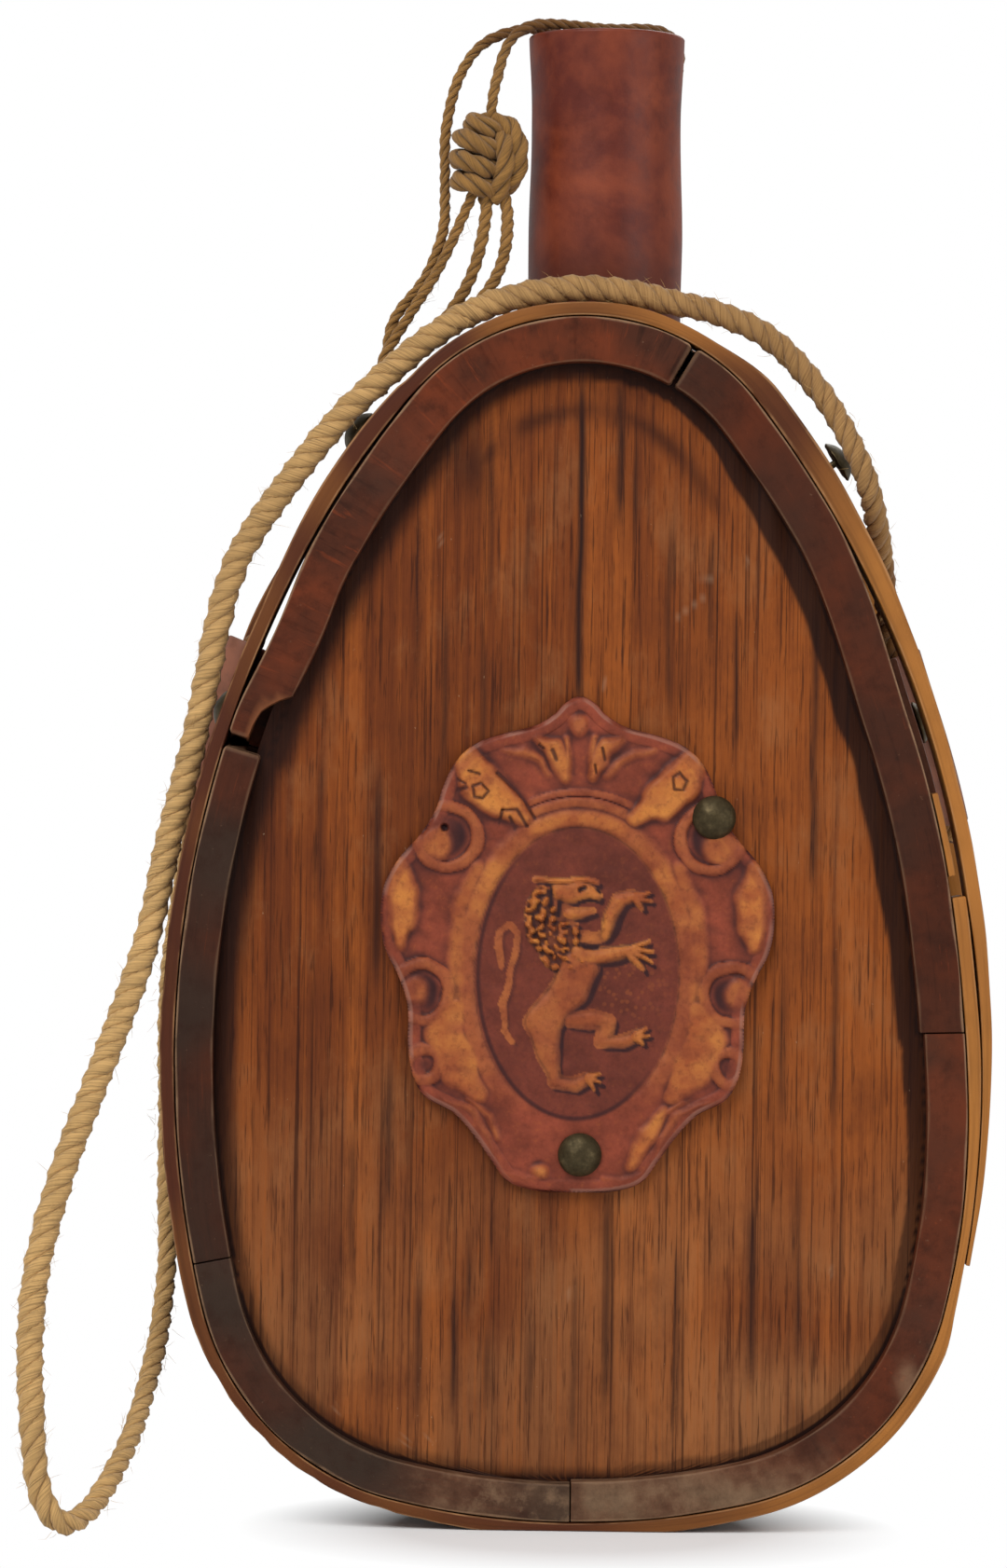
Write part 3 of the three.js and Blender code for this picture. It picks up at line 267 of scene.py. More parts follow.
# The knot: its middle, the size that its turns are written for, and the turns from its middle.
KNOT_CENTRE = (-22.8, -14.0, 322.0)
KNOT_TURNS_SIZE = 5.2 * MM
KNOT_TURNS = (
    (-1.4, 2.0, -9.4), (0.6, 0.0, -7.9), (-1.4, -2.8, -7.3), (-5.4, -2.8, -5.9), (-7.4, 0.0, -5.2),
    (-5.4, 2.8, -4.6), (-1.4, 2.8, -3.8), (1.2, 0.0, -3.2), (-1.2, -3.4, -2.6), (-5.4, -3.2, -1.0),
    (-7.8, 0.0, -0.2), (-5.4, 3.0, 0.3), (-1.2, 3.0, 0.9), (1.2, 0.0, 1.5), (-1.0, -3.2, 2.3),
    (-5.0, -2.8, 4.1), (-6.8, 0.0, 4.9), (-4.8, 2.6, 5.2), (-1.4, 2.2, 5.6), (1.0, 0.2, 6.2),
    (-0.4, -2.6, 6.9), (-3.6, -1.9, 8.0), (-4.4, 0.4, 8.6), (-2.2, 1.8, 8.8), (1.2, 0.8, 8.8),
    (4.6, -0.4, 7.4), (6.5, -1.4, 3.4), (6.7, -1.6, -1.0), (5.4, -1.0, -5.0), (3.2, 0.8, -6.4),
    (2.4, 1.9, -2.6), (2.2, 1.6, 2.0), (2.8, -0.6, 5.0), (3.5, -2.9, 1.8), (3.5, -3.3, -2.4),
    (2.4, -2.6, -6.4), (1.2, -0.6, -9.6),
)


def linear(hex_colour):
    """A colour written as six hex digits, in scene-linear red, green and blue."""
    channels = [int(hex_colour[i:i + 2], 16) / 255 for i in (0, 2, 4)]
    return tuple(c / 12.92 if c <= 0.04045 else ((c + 0.055) / 1.055) ** 2.4 for c in channels)


def length(name, millimetres, description):
    return FloatProperty(
        name=name, description=description, default=millimetres * MM, min=0.0, precision=4, unit="LENGTH",
    )


def tint(name, hex_colour, description):
    return FloatVectorProperty(
        name=name, description=description, default=linear(hex_colour), size=3, min=0.0, max=1.0,
        subtype="COLOR",
    )


class BarrelSizes(PropertyGroup):
    """The barrel's outline, staves, heads and hoops."""

    width: length("Width", 187, "Width over the staves")
    height: length("Height", 281.3, "Height over the staves")
    foot: length("Foot", 2, "Height of the lowest stave over the floor")
    crown_radius: length("Crown radius", 51.5, "Radius of the outline over the crown")
    side_radius: length("Side radius", 248, "Radius of the outline down the sides")
    haunch_radius: length("Haunch radius", 61, "Radius of the outline at the lower corners")
    base_radius: length("Base radius", 182, "Radius of the outline along the bottom")
    shrink: length("Shrink", 3.5, "How far the right-hand staves have shrunk in from the hoops")
    set_in: length("Set in", 1.5, "How far the crown stave has sprung in near its left end")
    arris: length("Arris", 0.6, "Rounding that wear has given to the staves' edges")
    open_round: length("Open end rounding", 1.3, "Rounding of the staves' ends at open joints")
    tight_round: length("Tight end rounding", 0.25, "Rounding of the staves' ends at tight joints")
    outside_groove: length("Outside groove", 4.8, "Wood between the outside and the heads' grooves")
    outside_head: length("Outside head", 7.6, "Wood between the outside and the heads' edges")
    fit: length("Fit", 0.3, "Clearance between pieces that touch")
    hoop_thickness: length("Hoop thickness", 3.2, "Thickness of the hoops")
    hoop_width: length("Hoop width", 16, "Width of the hoops")
    lap_tip: length("Lap tip", 0.9, "Thickness of the pared end of the outer lap")
    bulge_front: length("Front bulge", 0.5, "How far the front hoop stands off at upper left")
    bulge_back: length("Back bulge", 4, "How far the back hoop stands off at upper left")
    thickened: length("Thick hoop", 1.2, "How much thicker the front hoop is at upper left")
    swollen: length("Swollen hoop", 2.2, "How much thicker the front hoop is at upper right")


class FittingSizes(PropertyGroup):
    """The neck, crest, tacks and keepers."""

    neck_offset: length("Neck offset", 4.8, "How far right of the middle the neck stands")
    spout_diameter: length("Spout diameter", 31, "Outside of the spout")
    spout_bore: length("Spout bore", 20, "Bore of the spout")
    spout_spigot: length("Spigot diameter", 26, "The spout's lower end, in the crown stave")
    sleeve_wall: length("Sleeve wall", 2, "Thickness of the neck's leather")
    sleeve_flare: length("Sleeve flare", 0.9, "How far the leather swells beyond its waist")
    crest_middle: length("Crest middle", 129.5, "Height of the middle of the crest's oval")
    field_width: length("Field width", 47.6, "Width of the crest's oval field")
    field_height: length("Field height", 68.6, "Height of the crest's oval field")
    tack_head: length("Tack head", 10.2, "Diameter of the tacks' heads")
    tack_dome: length("Tack dome", 3.2, "Height of the tacks' heads")
    tack_shank: length("Tack shank", 1.7, "Diameter of the tacks' shanks")
    keeper_height: length("Keeper height", 42, "Height of the rope keepers")
    keeper_width: length("Keeper width", 38.6, "Width of the rope keepers")
    keeper_thickness: length("Keeper thickness", 2.4, "Thickness of the keepers' leather")


class CordSizes(PropertyGroup):
    """The rope and the twine."""

    rope_diameter: length("Rope diameter", 6.7, "Diameter of the rope over its strands")
    rope_lay: length("Rope lay", 14, "Length of one turn of the rope's strands")
    keeper_tunnel: length("Keeper tunnel", 3.6, "Radius of the tunnel through the rope keepers")
    twine_diameter: length("Twine diameter", 2.7, "Diameter of the twine over its strands")
    twine_lay: length("Twine lay", 9.5, "Length of one turn of the twine's strands")
    knot_radius: length("Knot radius", 5.2, "Size of the twine's knot")


class CanteenColours(PropertyGroup):
    """The main colours of the finishes."""

    rim: tint("Rim", "452214", "Dark stained staves")
    rim_red: tint("Rim streaks", "7a361a", "Red streaks in the staves")
    rim_grey: tint("Rim grey", "3b2d24", "Weathered staves")
    rim_worn: tint("Rim wear", "937459", "Bare worn edges of the staves")
    rim_bare: tint("Rim break", "6f4228", "Fresh wood where the crown stave is broken")
    panel_dark: tint("Panel dark", "4a200e", "Darkest bands of the heads")
    panel_mid: tint("Panel", "6e3512", "Heads")
    panel_light: tint("Panel light", "944e1c", "Lightest bands of the heads")
    panel_faded: tint("Panel faded", "94633c", "Dull patches of the heads, most at the foot")
    panel_line: tint("Panel lines", "25120d", "Dark grain lines of the heads")
    hoop_brown: tint("Hoop brown", "4a2210", "Hoops at the left")
    hoop_ochre: tint("Hoop ochre", "a2682e", "Hoops at the right")
    hoop_worn: tint("Hoop wear", "b08358", "Worn edges of the hoops")
    spout: tint("Spout", "6e4426", "Turned spout")
    cork: tint("Stopper", "54361f", "Stopper")
    neck: tint("Neck leather", "76341c", "Leather of the neck")
    neck_dark: tint("Neck patches", "571f13", "Dark patches of the neck's leather")
    crest_dark: tint("Crest shade", "2a1518", "Deep lines of the crest")
    crest_red: tint("Crest", "883f2b", "Leather of the crest")
    crest_tan: tint("Crest relief", "bc7636", "Raised work of the crest")
    crest_orange: tint("Crest orange", "a0542a", "Redder raised work of the crest")
    # Painted highlight along the crest's rounded edge.
    crest_edge_highlight: tint("Crest edge", "95695a", "Rubbed edge of the crest")
    keeper: tint("Keepers", "80503c", "Leather of the rope keepers")
    tack: tint("Tacks", "5c4f36", "Antique brass of the tacks")
    rope: tint("Rope", "bb955f", "Rope")
    twine: tint("Twine", "8c6533", "Twine")


class CanteenSettings(PropertyGroup):
    """All that a user would change."""

    barrel: PointerProperty(type=BarrelSizes)
    fittings: PointerProperty(type=FittingSizes)
    cords: PointerProperty(type=CordSizes)
    colours: PointerProperty(type=CanteenColours)


def smoothstep(value, low, high):
    share = np.clip((np.asarray(value, dtype=float) - low) / (high - low), 0.0, 1.0)
    return share * share * (3 - 2 * share)


def hump(angles, middle, reach):
    """A smooth rise from 0 to 1 and back within that many degrees of the middle."""
    away = np.minimum(1, np.abs(angles - math.radians(middle)) / math.radians(reach))
    return np.cos(away * QUARTER) ** 2


def ripple(points, wavelength, seed, waves=10):
    """Smooth noise of about unit size, from plane waves in seeded directions."""
    points = np.asarray(points, dtype=float)
    draw = np.random.default_rng(seed)
    ways = draw.normal(size=(waves, points.shape[-1]))
    ways /= np.linalg.norm(ways, axis=1, keepdims=True)
    ways *= WHOLE / wavelength * draw.uniform(0.6, 1.6, size=(waves, 1))
    return np.sin(points @ ways.T + draw.uniform(0, WHOLE, waves)).sum(axis=-1) / math.sqrt(waves / 2)


class Barrel:
    """The barrel's outline: tangent arcs, each found by the direction of its outward normal."""

    def __init__(self, sizes):
        crown_radius, side_radius = sizes.crown_radius, sizes.side_radius
        haunch_radius, base_radius = sizes.haunch_radius, sizes.base_radius
        crown = np.array([0.0, sizes.foot + sizes.height - crown_radius])
        crown_end = math.acos((side_radius - sizes.width / 2) / (side_radius - crown_radius))
        side = crown + (crown_radius - side_radius) * np.array([math.cos(crown_end), math.sin(crown_end)])
        base = np.array([0.0, sizes.foot + base_radius])
        side_reach = side_radius - haunch_radius
        base_reach = base_radius - haunch_radius
        span = float(np.linalg.norm(base - side))
        unit = (base - side) / span
        along = (side_reach ** 2 - base_reach ** 2 + span ** 2) / (2 * span)
        across = math.sqrt(side_reach ** 2 - along ** 2)
        haunch = side + along * unit + across * np.array([unit[1], -unit[0]])
        self.limits = np.array([
            crown_end,
            math.atan2(haunch[1] - side[1], haunch[0] - side[0]),
            math.atan2(haunch[1] - base[1], haunch[0] - base[0]),
        ])
        self.centres = np.array([crown, side, haunch, base])
        self.radii = np.array([crown_radius, side_radius, haunch_radius, base_radius])
        self.shrink = sizes.shrink

    def points(self, angle, offset, depth):
        """Points over the outline by normal angle, height over the outline and depth."""
        angle, offset, depth = np.broadcast_arrays(angle, offset, depth)
        whole = (angle + QUARTER) % WHOLE - QUARTER
        left = whole > QUARTER
        folded = np.where(left, math.pi - whole, whole)
        arc = (folded[..., None] < self.limits).sum(axis=-1)
        reach = self.radii[arc] + offset
        x = self.centres[arc, 0] + reach * np.cos(folded)
        z = self.centres[arc, 1] + reach * np.sin(folded)
        return np.stack([np.where(left, -x, x), depth, z], axis=-1)

    def ring(self, angle):
        """Where the staves lie over the outline: inside it where the right-hand ones have shrunk."""
        whole = (np.asarray(angle, dtype=float) + QUARTER) % WHOLE - QUARTER
        below = smoothstep(whole, *np.radians(SHRINK_BELOW))
        above = smoothstep(whole, *np.radians(SHRINK_ABOVE))
        return -self.shrink * below * above

    def run(self, start, end, step, start_round, end_round):
        """Angles along a run and their distances from its start, closer together at its rounded ends."""
        fine = np.linspace(start, end, 3000)
        path = self.points(fine, 0.0, 0.0)
        lengths = np.concatenate([[0.0], np.cumsum(np.linalg.norm(np.diff(path, axis=0), axis=1))])
        total = lengths[-1]
        count = max(3, round((total - start_round - end_round) / step))
        ends = (1 - np.cos(np.linspace(0, QUARTER, 6)))[:-1]
        middle = np.linspace(start_round, total - end_round, count)
        marks = np.concatenate([start_round * ends, middle, total - end_round * ends[::-1]])
        return np.interp(marks, lengths, fine), marks

    def sides(self, offset, levels):
        """Left and right edges of the ring of staves at an offset, at each height."""
        right = np.linspace(-QUARTER, QUARTER, 1500)
        left = math.pi - right
        edges = [self.points(angle, offset + self.ring(angle), 0.0) for angle in (left, right)]
        return [np.interp(levels, edge[:, 2], edge[:, 0]) for edge in edges]

    def tack_axis(self, angle):
        return np.array([math.cos(angle), 0.0, math.sin(angle)])


def grid_faces(rows, columns, wrap_rows=False, wrap_columns=False, start=0):
    index = np.arange(rows * columns).reshape(rows, columns) + start
    if wrap_columns:
        index = np.concatenate([index, index[:, :1]], axis=1)
    if wrap_rows:
        index = np.concatenate([index, index[:1]], axis=0)
    quads = np.stack([index[:-1, :-1], index[:-1, 1:], index[1:, 1:], index[1:, :-1]], axis=-1)
    return quads.reshape(-1, 4).tolist()


def new_piece(name, points, faces, finish, crease=45.0):
    """A smooth-shaded mesh object whose faces point out."""
    mesh = bpy.data.meshes.new(name)
    mesh.from_pydata(np.asarray(points, dtype=float).reshape(-1, 3).tolist(), [], faces)
    work = bmesh.new()
    work.from_mesh(mesh)
    bmesh.ops.recalc_face_normals(work, faces=work.faces[:])
    work.to_mesh(mesh)
    work.free()
    mesh.shade_smooth()
    mesh.set_sharp_from_angle(angle=math.radians(crease))
    mesh.materials.append(finish)
    piece = bpy.data.objects.new(name, mesh)
    bpy.context.scene.collection.objects.link(piece)
    return piece


def loft(name, rings, finish):
    """Closed rings joined into a skin, with a cap at each end."""
    count, around = rings.shape[:2]
    faces = grid_faces(count, around, wrap_columns=True)
    faces.append(list(range(around)))
    faces.append(list(range((count - 1) * around, count * around)))
    return new_piece(name, rings, faces, finish)


def slab(name, front, back_depth, finish):
    """A board with a fine front, as rows of points, and a flat back."""
    rows, columns = front.shape[:2]
    edges = front[:, [0, -1]].copy()
    edges[..., 1] = back_depth
    first = rows * columns
    left = first + 2 * np.arange(rows)
    faces = grid_faces(rows, columns) + grid_faces(rows, 2, start=first)
    for i in range(rows - 1):
        faces.append([i * columns, (i + 1) * columns, int(left[i + 1]), int(left[i])])
        faces.append([(i + 1) * columns - 1, (i + 2) * columns - 1, int(left[i + 1]) + 1, int(left[i]) + 1])
    faces.append(list(range(columns)) + [first + 1, first])
    last = int(left[-1])
    faces.append(list(range((rows - 1) * columns, rows * columns)) + [last + 1, last])
    points = np.concatenate([front.reshape(-1, 3), edges.reshape(-1, 3)])
    return new_piece(name, points, faces, finish)


def turned(profile, sides):
    """Rings of a profile of [radius, height] turned about the Z axis."""
    around = np.linspace(0, WHOLE, sides, endpoint=False)
    profile = np.asarray(profile, dtype=float)
    ring = np.stack([np.cos(around), np.sin(around), np.zeros(sides)], axis=-1)
    return profile[:, :1, None] * ring + np.array([0.0, 0.0, 1.0]) * profile[:, 1:, None]


def paint(piece, name, values):
    """Keeps a number or a vector for each vertex, for the finish to read."""
    values = np.asarray(values, dtype=np.float32)
    kind = "FLOAT" if values.ndim == 1 else "FLOAT_VECTOR"
    attribute = piece.data.attributes.new(name, kind, "POINT")
    attribute.data.foreach_set("value" if kind == "FLOAT" else "vector", values.ravel())


def paint_grain(piece, marks, section):
    """Keeps each vertex's place along a bent piece and in its section, for the grain."""
    along = np.broadcast_to(marks[:, None], section.shape[:2])
    paint(piece, "grain", np.stack([along, section[..., 1], section[..., 0]], axis=-1).reshape(-1, 3))


def settle(piece, slot, *nodes, body=BODY):
    """Rides the piece on its body and puts it in the place of its nodes; its slot is not used."""
    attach(piece, body)
    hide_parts(*nodes)
    return piece


def fillet(points, radius, cuts=3):
    """A closed outline of [a, b] points with each corner rounded."""
    points = np.asarray(points, dtype=float)
    rounded = []
    for before, corner, after in zip(np.roll(points, 1, axis=0), points, np.roll(points, -1, axis=0)):
        back = (before - corner) / np.linalg.norm(before - corner)
        on = (after - corner) / np.linalg.norm(after - corner)
        reach = min(radius, 0.45 * np.linalg.norm(before - corner), 0.45 * np.linalg.norm(after - corner))
        for share in np.linspace(0, 1, cuts):
            weights = np.array([(1 - share) ** 2, 2 * share * (1 - share), share ** 2])
            rounded.append(weights @ np.array([corner + reach * back, corner, corner + reach * on]))
    return np.array(rounded)


def end_inset(marks, start_round, end_round):
    """How far a section draws in near the rounded ends of a run."""
    inset = np.zeros(len(marks))
    for away, radius in ((marks - marks[0], start_round), (marks[-1] - marks, end_round)):
        near = np.clip(away, 0.0, radius)
        inset += radius - np.sqrt(np.maximum(radius ** 2 - (radius - near) ** 2, 0.0))
    return inset


def section_normals(section):
    """Outward directions of closed sections of [depth, height], the last two axes of the array."""
    ahead = np.roll(section, -1, axis=-2) - np.roll(section, 1, axis=-2)
    normals = np.stack([ahead[..., 1], -ahead[..., 0]], axis=-1)
    normals /= np.maximum(np.linalg.norm(normals, axis=-1, keepdims=True), 1e-9)
    following = np.roll(section, -1, axis=-2)
    area = (section[..., 0] * following[..., 1] - following[..., 0] * section[..., 1]).sum(axis=-1)
    return normals * np.sign(area)[..., None, None]


def dimmed(colour, share):
    """A colour made darker, or lighter by a share above 1."""
    return tuple(share * c for c in colour)


class Finish:
    """A procedural material, with short ways to add its nodes."""

    def __init__(self, name, roughness, specular, **sockets):
        self.material = bpy.data.materials.new(name)
        self.material.use_nodes = True
        self.tree = self.material.node_tree
        self.shader = self.tree.nodes["Principled BSDF"]
        self.set("Roughness", roughness)
        self.set("Specular IOR Level", specular)
        for socket, value in sockets.items():
            self.set(socket.replace("_", " "), value)

    def set(self, socket, value):
        self.feed(self.shader.inputs[socket], value)

    def feed(self, socket, value):
        if isinstance(value, bpy.types.NodeSocket):
            self.tree.links.new(value, socket)
        elif socket.type == "RGBA":
            socket.default_value = (*tuple(value)[:3], 1.0)
        else:
            socket.default_value = value

    def node(self, kind, inputs=None, **settings):
        node = self.tree.nodes.new(kind)
        for setting, value in settings.items():
            setattr(node, setting, value)
        for socket, value in (inputs or {}).items():
            self.feed(node.inputs[socket], value)
        return node

    def place(self):
        return self.node("ShaderNodeTexCoord").outputs["Object"]

    def painted(self, name):
        return self.node("ShaderNodeAttribute", attribute_name=name).outputs["Fac"]

    def painted_vector(self, name):
        return self.node("ShaderNodeAttribute", attribute_name=name).outputs["Vector"]

    def noise(self, vector, cells, detail=3.0, roughness=0.5, distortion=0.0):
        """Noise with that many cells to the metre along each axis."""
        stretched = self.node("ShaderNodeMapping", {"Vector": vector, "Scale": cells}).outputs["Vector"]
        return self.node("ShaderNodeTexNoise", {
            "Vector": stretched, "Scale": 1.0, "Detail": detail, "Roughness": roughness,
            "Distortion": distortion,
        }).outputs["Fac"]

    def dots(self, vector, cells):
        """Distance from the nearest of scattered points, that many to the metre."""
        return self.node("ShaderNodeTexVoronoi", {"Vector": vector, "Scale": cells}).outputs["Distance"]

    def levels(self, value, low, high, bottom=0.0, top=1.0):
        return self.node("ShaderNodeMapRange", {
            "Value": value, "From Min": low, "From Max": high, "To Min": bottom, "To Max": top,
        }).outputs["Result"]

    def calc(self, operation, first, second):
        return self.node("ShaderNodeMath", {0: first, 1: second}, operation=operation).outputs["Value"]

    def mix(self, share, first, second):
        node = self.node("ShaderNodeMix", data_type="RGBA")
        self.feed(node.inputs[0], share)
        self.feed(node.inputs[6], first)
        self.feed(node.inputs[7], second)
        return node.outputs[2]

    def over(self, tone, colour, value, low, high, most=1.0):
        """The tone with up to that share of a colour laid over it, as the value goes from low to high."""
        return self.mix(self.levels(value, low, high, 0.0, most), tone, colour)

    def painted_over(self, tone, **colours):
        """The tone with colours laid over it in turn, each by the painted share of its name."""
        for name, colour in colours.items():
            tone = self.mix(self.painted(name), tone, colour)
        return tone

    def broken(self, name, value, low, high, bottom=0.0, top=1.0):
        """A painted share, broken up by a noise."""
        return self.calc("MULTIPLY", self.painted(name), self.levels(value, low, high, bottom, top))

    def ramp(self, value, *stops):
        node = self.node("ShaderNodeValToRGB", {"Fac": value})
        elements = node.color_ramp.elements
        while len(elements) < len(stops):
            elements.new(1.0)
        for element, (position, colour) in zip(elements, stops):
            element.position = position
            element.color = (*tuple(colour)[:3], 1.0)
        return node.outputs["Color"]

    def bump(self, height, distance, strength):
        node = self.node("ShaderNodeBump", {"Height": height, "Distance": distance, "Strength": strength})
        self.set("Normal", node.outputs["Normal"])


def rim_finish(colours):
    """Dark stained staves: streaks along or across the grain, pale worn edges, scuffed at the foot."""
    finish = Finish("rim_wood", 0.58, 0.1)
    place = finish.place()
    grain = finish.painted_vector("grain")
    along = finish.noise(grain, (35, 900, 500), 4, 0.6)
    across = finish.noise(grain, (420, 45, 60), 4, 0.6, 0.4)
    blotch = finish.noise(place, (38, 38, 38), 4, 0.6)
    speck = finish.noise(place, (700, 700, 700), 3, 0.7)
    ragged = finish.noise(place, (160, 160, 160), 4, 0.7)
    mottle = finish.noise(place, (170, 170, 170), 5, 0.7)
    streak = finish.mix(finish.painted("cross"), along, across)
    dark = dimmed(colours.rim, 0.4)
    tone = finish.ramp(streak, (0.3, dark), (0.47, colours.rim), (0.6, colours.rim), (0.74, colours.rim_red))
    tone = finish.over(tone, colours.rim_red, blotch, 0.42, 0.66, 0.55)
    grey = finish.over(colours.rim_grey, dimmed(colours.rim_grey, 0.6), blotch, 0.35, 0.7)
    tone = finish.painted_over(tone, grey=grey, shade=dark)
    rubbed = finish.broken("scuff", blotch, 0.36, 0.6)
    tone = finish.mix(rubbed, tone, dimmed(colours.rim_worn, 0.5))
    tone = finish.over(tone, dark, mottle, 0.5, 0.7, 0.5)
    scuffed = finish.broken("scuff", mottle, 0.5, 0.3, 0.0, 0.7)
    tone = finish.mix(scuffed, tone, dimmed(colours.rim_worn, 0.75))
    worn = finish.broken("wear", ragged, 0.3, 0.55, 0.3, 1.0)
    tone = finish.mix(worn, tone, colours.rim_worn)
    tone = finish.painted_over(tone, bare=colours.rim_bare)
    tone = finish.over(tone, colours.rim_worn, speck, 0.68, 0.78, 0.25)
    finish.set("Base Color", tone)
    finish.set("Roughness", finish.levels(streak, 0.3, 0.8, 0.46, 0.66))
    finish.bump(finish.calc("ADD", streak, finish.calc("MULTIPLY", speck, 0.6)), 0.00022, 0.6)
    return finish.material


def panel_finish(colours):
    """Oiled heads with dense upright grain, long dark lines, a stain under the crown, a painted shadow of the
    rim round the margin and painted light on the right.
    """
    finish = Finish("head_wood", 0.55, 0.12)
    place = finish.place()
    bands = finish.noise(place, (80, 80, 4.5), 4, 0.6, 0.1)
    grain = finish.noise(place, (620, 300, 10), 6, 0.72)
    streaks = finish.noise(place, (950, 300, 34), 4, 0.62)
    lines = finish.noise(place, (900, 300, 6.5), 4, 0.6)
    pores = finish.noise(place, (1800, 500, 110), 2, 0.5)
    mottle = finish.noise(place, (75, 75, 42), 5, 0.66)
    flecks = finish.noise(place, (900, 900, 500), 2, 0.6)
    pale_fleck = (0.4, 0.27, 0.16)
    pale_scratch = (0.36, 0.24, 0.15)
    dark, light = colours.panel_dark, colours.panel_light
    deep = dimmed(dark, 0.38)
    low = tuple(0.6 * d + 0.4 * m for d, m in zip(dark, colours.panel_mid))
    tone = finish.ramp(bands, (0.3, low), (0.5, colours.panel_mid), (0.7, light))
    # Painted light makes the right of the head paler, through the lit share and part of the faded share.
    tone = finish.painted_over(tone, faded=colours.panel_faded, lit=light)
    for colour, value, start, end, most in (
        (dark, grain, 0.5, 0.68, 0.7), (light, grain, 0.47, 0.32, 0.5),
        (dark, mottle, 0.5, 0.72, 0.5), (colours.panel_faded, mottle, 0.48, 0.3, 0.3),
        (deep, streaks, 0.56, 0.64, 0.65), (deep, lines, 0.57, 0.66, 0.7), (deep, pores, 0.6, 0.68, 0.5),
    ):
        tone = finish.over(tone, colour, value, start, end, most)
    # The margin share is a painted shadow of the rim, near black.
    stain, shade = dimmed(dark, 0.5), dimmed(dark, 0.2)
    tone = finish.painted_over(tone, line=colours.panel_line, stain=stain, margin=shade)
    tone = finish.over(tone, pale_fleck, flecks, 0.74, 0.8, 0.4)
    tone = finish.painted_over(tone, scratch=pale_scratch)
    finish.set("Base Color", tone)
    finish.set("Roughness", finish.levels(grain, 0.3, 0.75, 0.46, 0.64))
    finish.bump(finish.calc("ADD", grain, finish.calc("MULTIPLY", pores, 0.5)), -0.00025, 0.5)
    return finish.material


def hoop_finish(colours):
    """Bent strips, dark brown at the left and ochre at the right, with long grain and worn edges."""
    finish = Finish("hoop_wood", 0.55, 0.16)
    grain = finish.painted_vector("grain")
    fibre = finish.noise(grain, (16, 900, 900), 5, 0.65)
    blotch = finish.noise(finish.place(), (45, 45, 45), 3, 0.6)
    tone = finish.painted_over(colours.hoop_brown, ochre=colours.hoop_ochre)
    shade = finish.mix(0.5, tone, dimmed(colours.hoop_brown, 0.3))
    tone = finish.over(tone, shade, fibre, 0.48, 0.72, 0.8)
    tone = finish.over(tone, shade, blotch, 0.5, 0.72, 0.4)
    ragged = finish.noise(grain, (60, 500, 500), 4, 0.7)
    tone = finish.mix(finish.broken("wear", ragged, 0.42, 0.62, 0.0, 0.7), tone, colours.hoop_worn)
    finish.set("Base Color", tone)
    finish.set("Roughness", finish.levels(fibre, 0.3, 0.75, 0.46, 0.64))
    finish.bump(fibre, -0.0002, 0.5)
    return finish.material


def turned_finish(name, colour, roughness):
    """Plain turned wood or cork with fine mottling."""
    finish = Finish(name, roughness, 0.2)
    mottle = finish.noise(finish.place(), (260, 260, 180), 5, 0.65)
    tone = finish.ramp(mottle, (0.3, dimmed(colour, 0.35)), (0.55, colour), (0.75, dimmed(colour, 1.3)))
    finish.set("Base Color", tone)
    finish.bump(mottle, 0.0004, 0.6)
    return finish.material


def leather_finish(name, colour, dark, roughness, soiled_and_shaded=False):
    """Smooth dyed leather with cloudy patches and a fine pebble, darker where painted shade is laid on."""
    finish = Finish(name, roughness, 0.25)
    place = finish.place()
    cloud = finish.noise(place, (38, 38, 46), 4, 0.6, 0.4)
    fine = finish.noise(place, (190, 190, 150), 4, 0.6)
    pebble = finish.dots(place, 1500.0)
    tone = finish.over(dimmed(colour, 1.1), dark, cloud, 0.4, 0.64)
    tone = finish.over(tone, dimmed(colour, 1.25), fine, 0.5, 0.75, 0.4)
    tone = finish.over(tone, dimmed(dark, 0.6), fine, 0.46, 0.25, 0.5)
    # Painted shade, darker where its share is painted.
    if soiled_and_shaded:
        tone = finish.painted_over(tone, soil=dimmed(dark, 0.4))
    finish.set("Base Color", tone)
    finish.set("Roughness", finish.levels(fine, 0.3, 0.75, roughness - 0.06, roughness + 0.12))
    finish.bump(finish.calc("ADD", fine, finish.calc("MULTIPLY", pebble, 0.25)), 0.00022, 0.3)
    return finish.material


def crest_finish(colours):
    """Embossed leather, antiqued: red-brown, tan on its raised work, dark in its hollows from antiquing with
    painted shade, and a painted highlight on its edge.
    """
    finish = Finish("crest_leather", 0.5, 0.16)
    place = finish.place()
    fine = finish.noise(place, (620, 620, 620), 4, 0.7)
    cloud = finish.noise(place, (110, 110, 110), 4, 0.65)
    deep = dimmed(colours.crest_red, 0.42)
    tone = finish.over(colours.crest_red, deep, cloud, 0.35, 0.68, 0.75)
    orange = finish.over(colours.crest_tan, colours.crest_orange, cloud, 0.38, 0.62)
    tone = finish.painted_over(tone, tan=orange)
    tone = finish.over(tone, deep, fine, 0.5, 0.72, 0.5)
    tone = finish.over(tone, colours.crest_orange, fine, 0.44, 0.28, 0.3)
    dots = finish.broken("punched", finish.dots(place, 640.0), 0.4, 0.24)
    tone = finish.mix(dots, tone, colours.crest_orange)
    # Dark antiquing with painted shade, and a painted highlight along the edge (pale).
    tone = finish.painted_over(tone, dark=colours.crest_dark, pale=colours.crest_edge_highlight)
    finish.set("Base Color", tone)
    finish.set("Roughness", finish.levels(fine, 0.3, 0.7, 0.42, 0.6))
    finish.bump(fine, 0.0002, 0.5)
    return finish.material


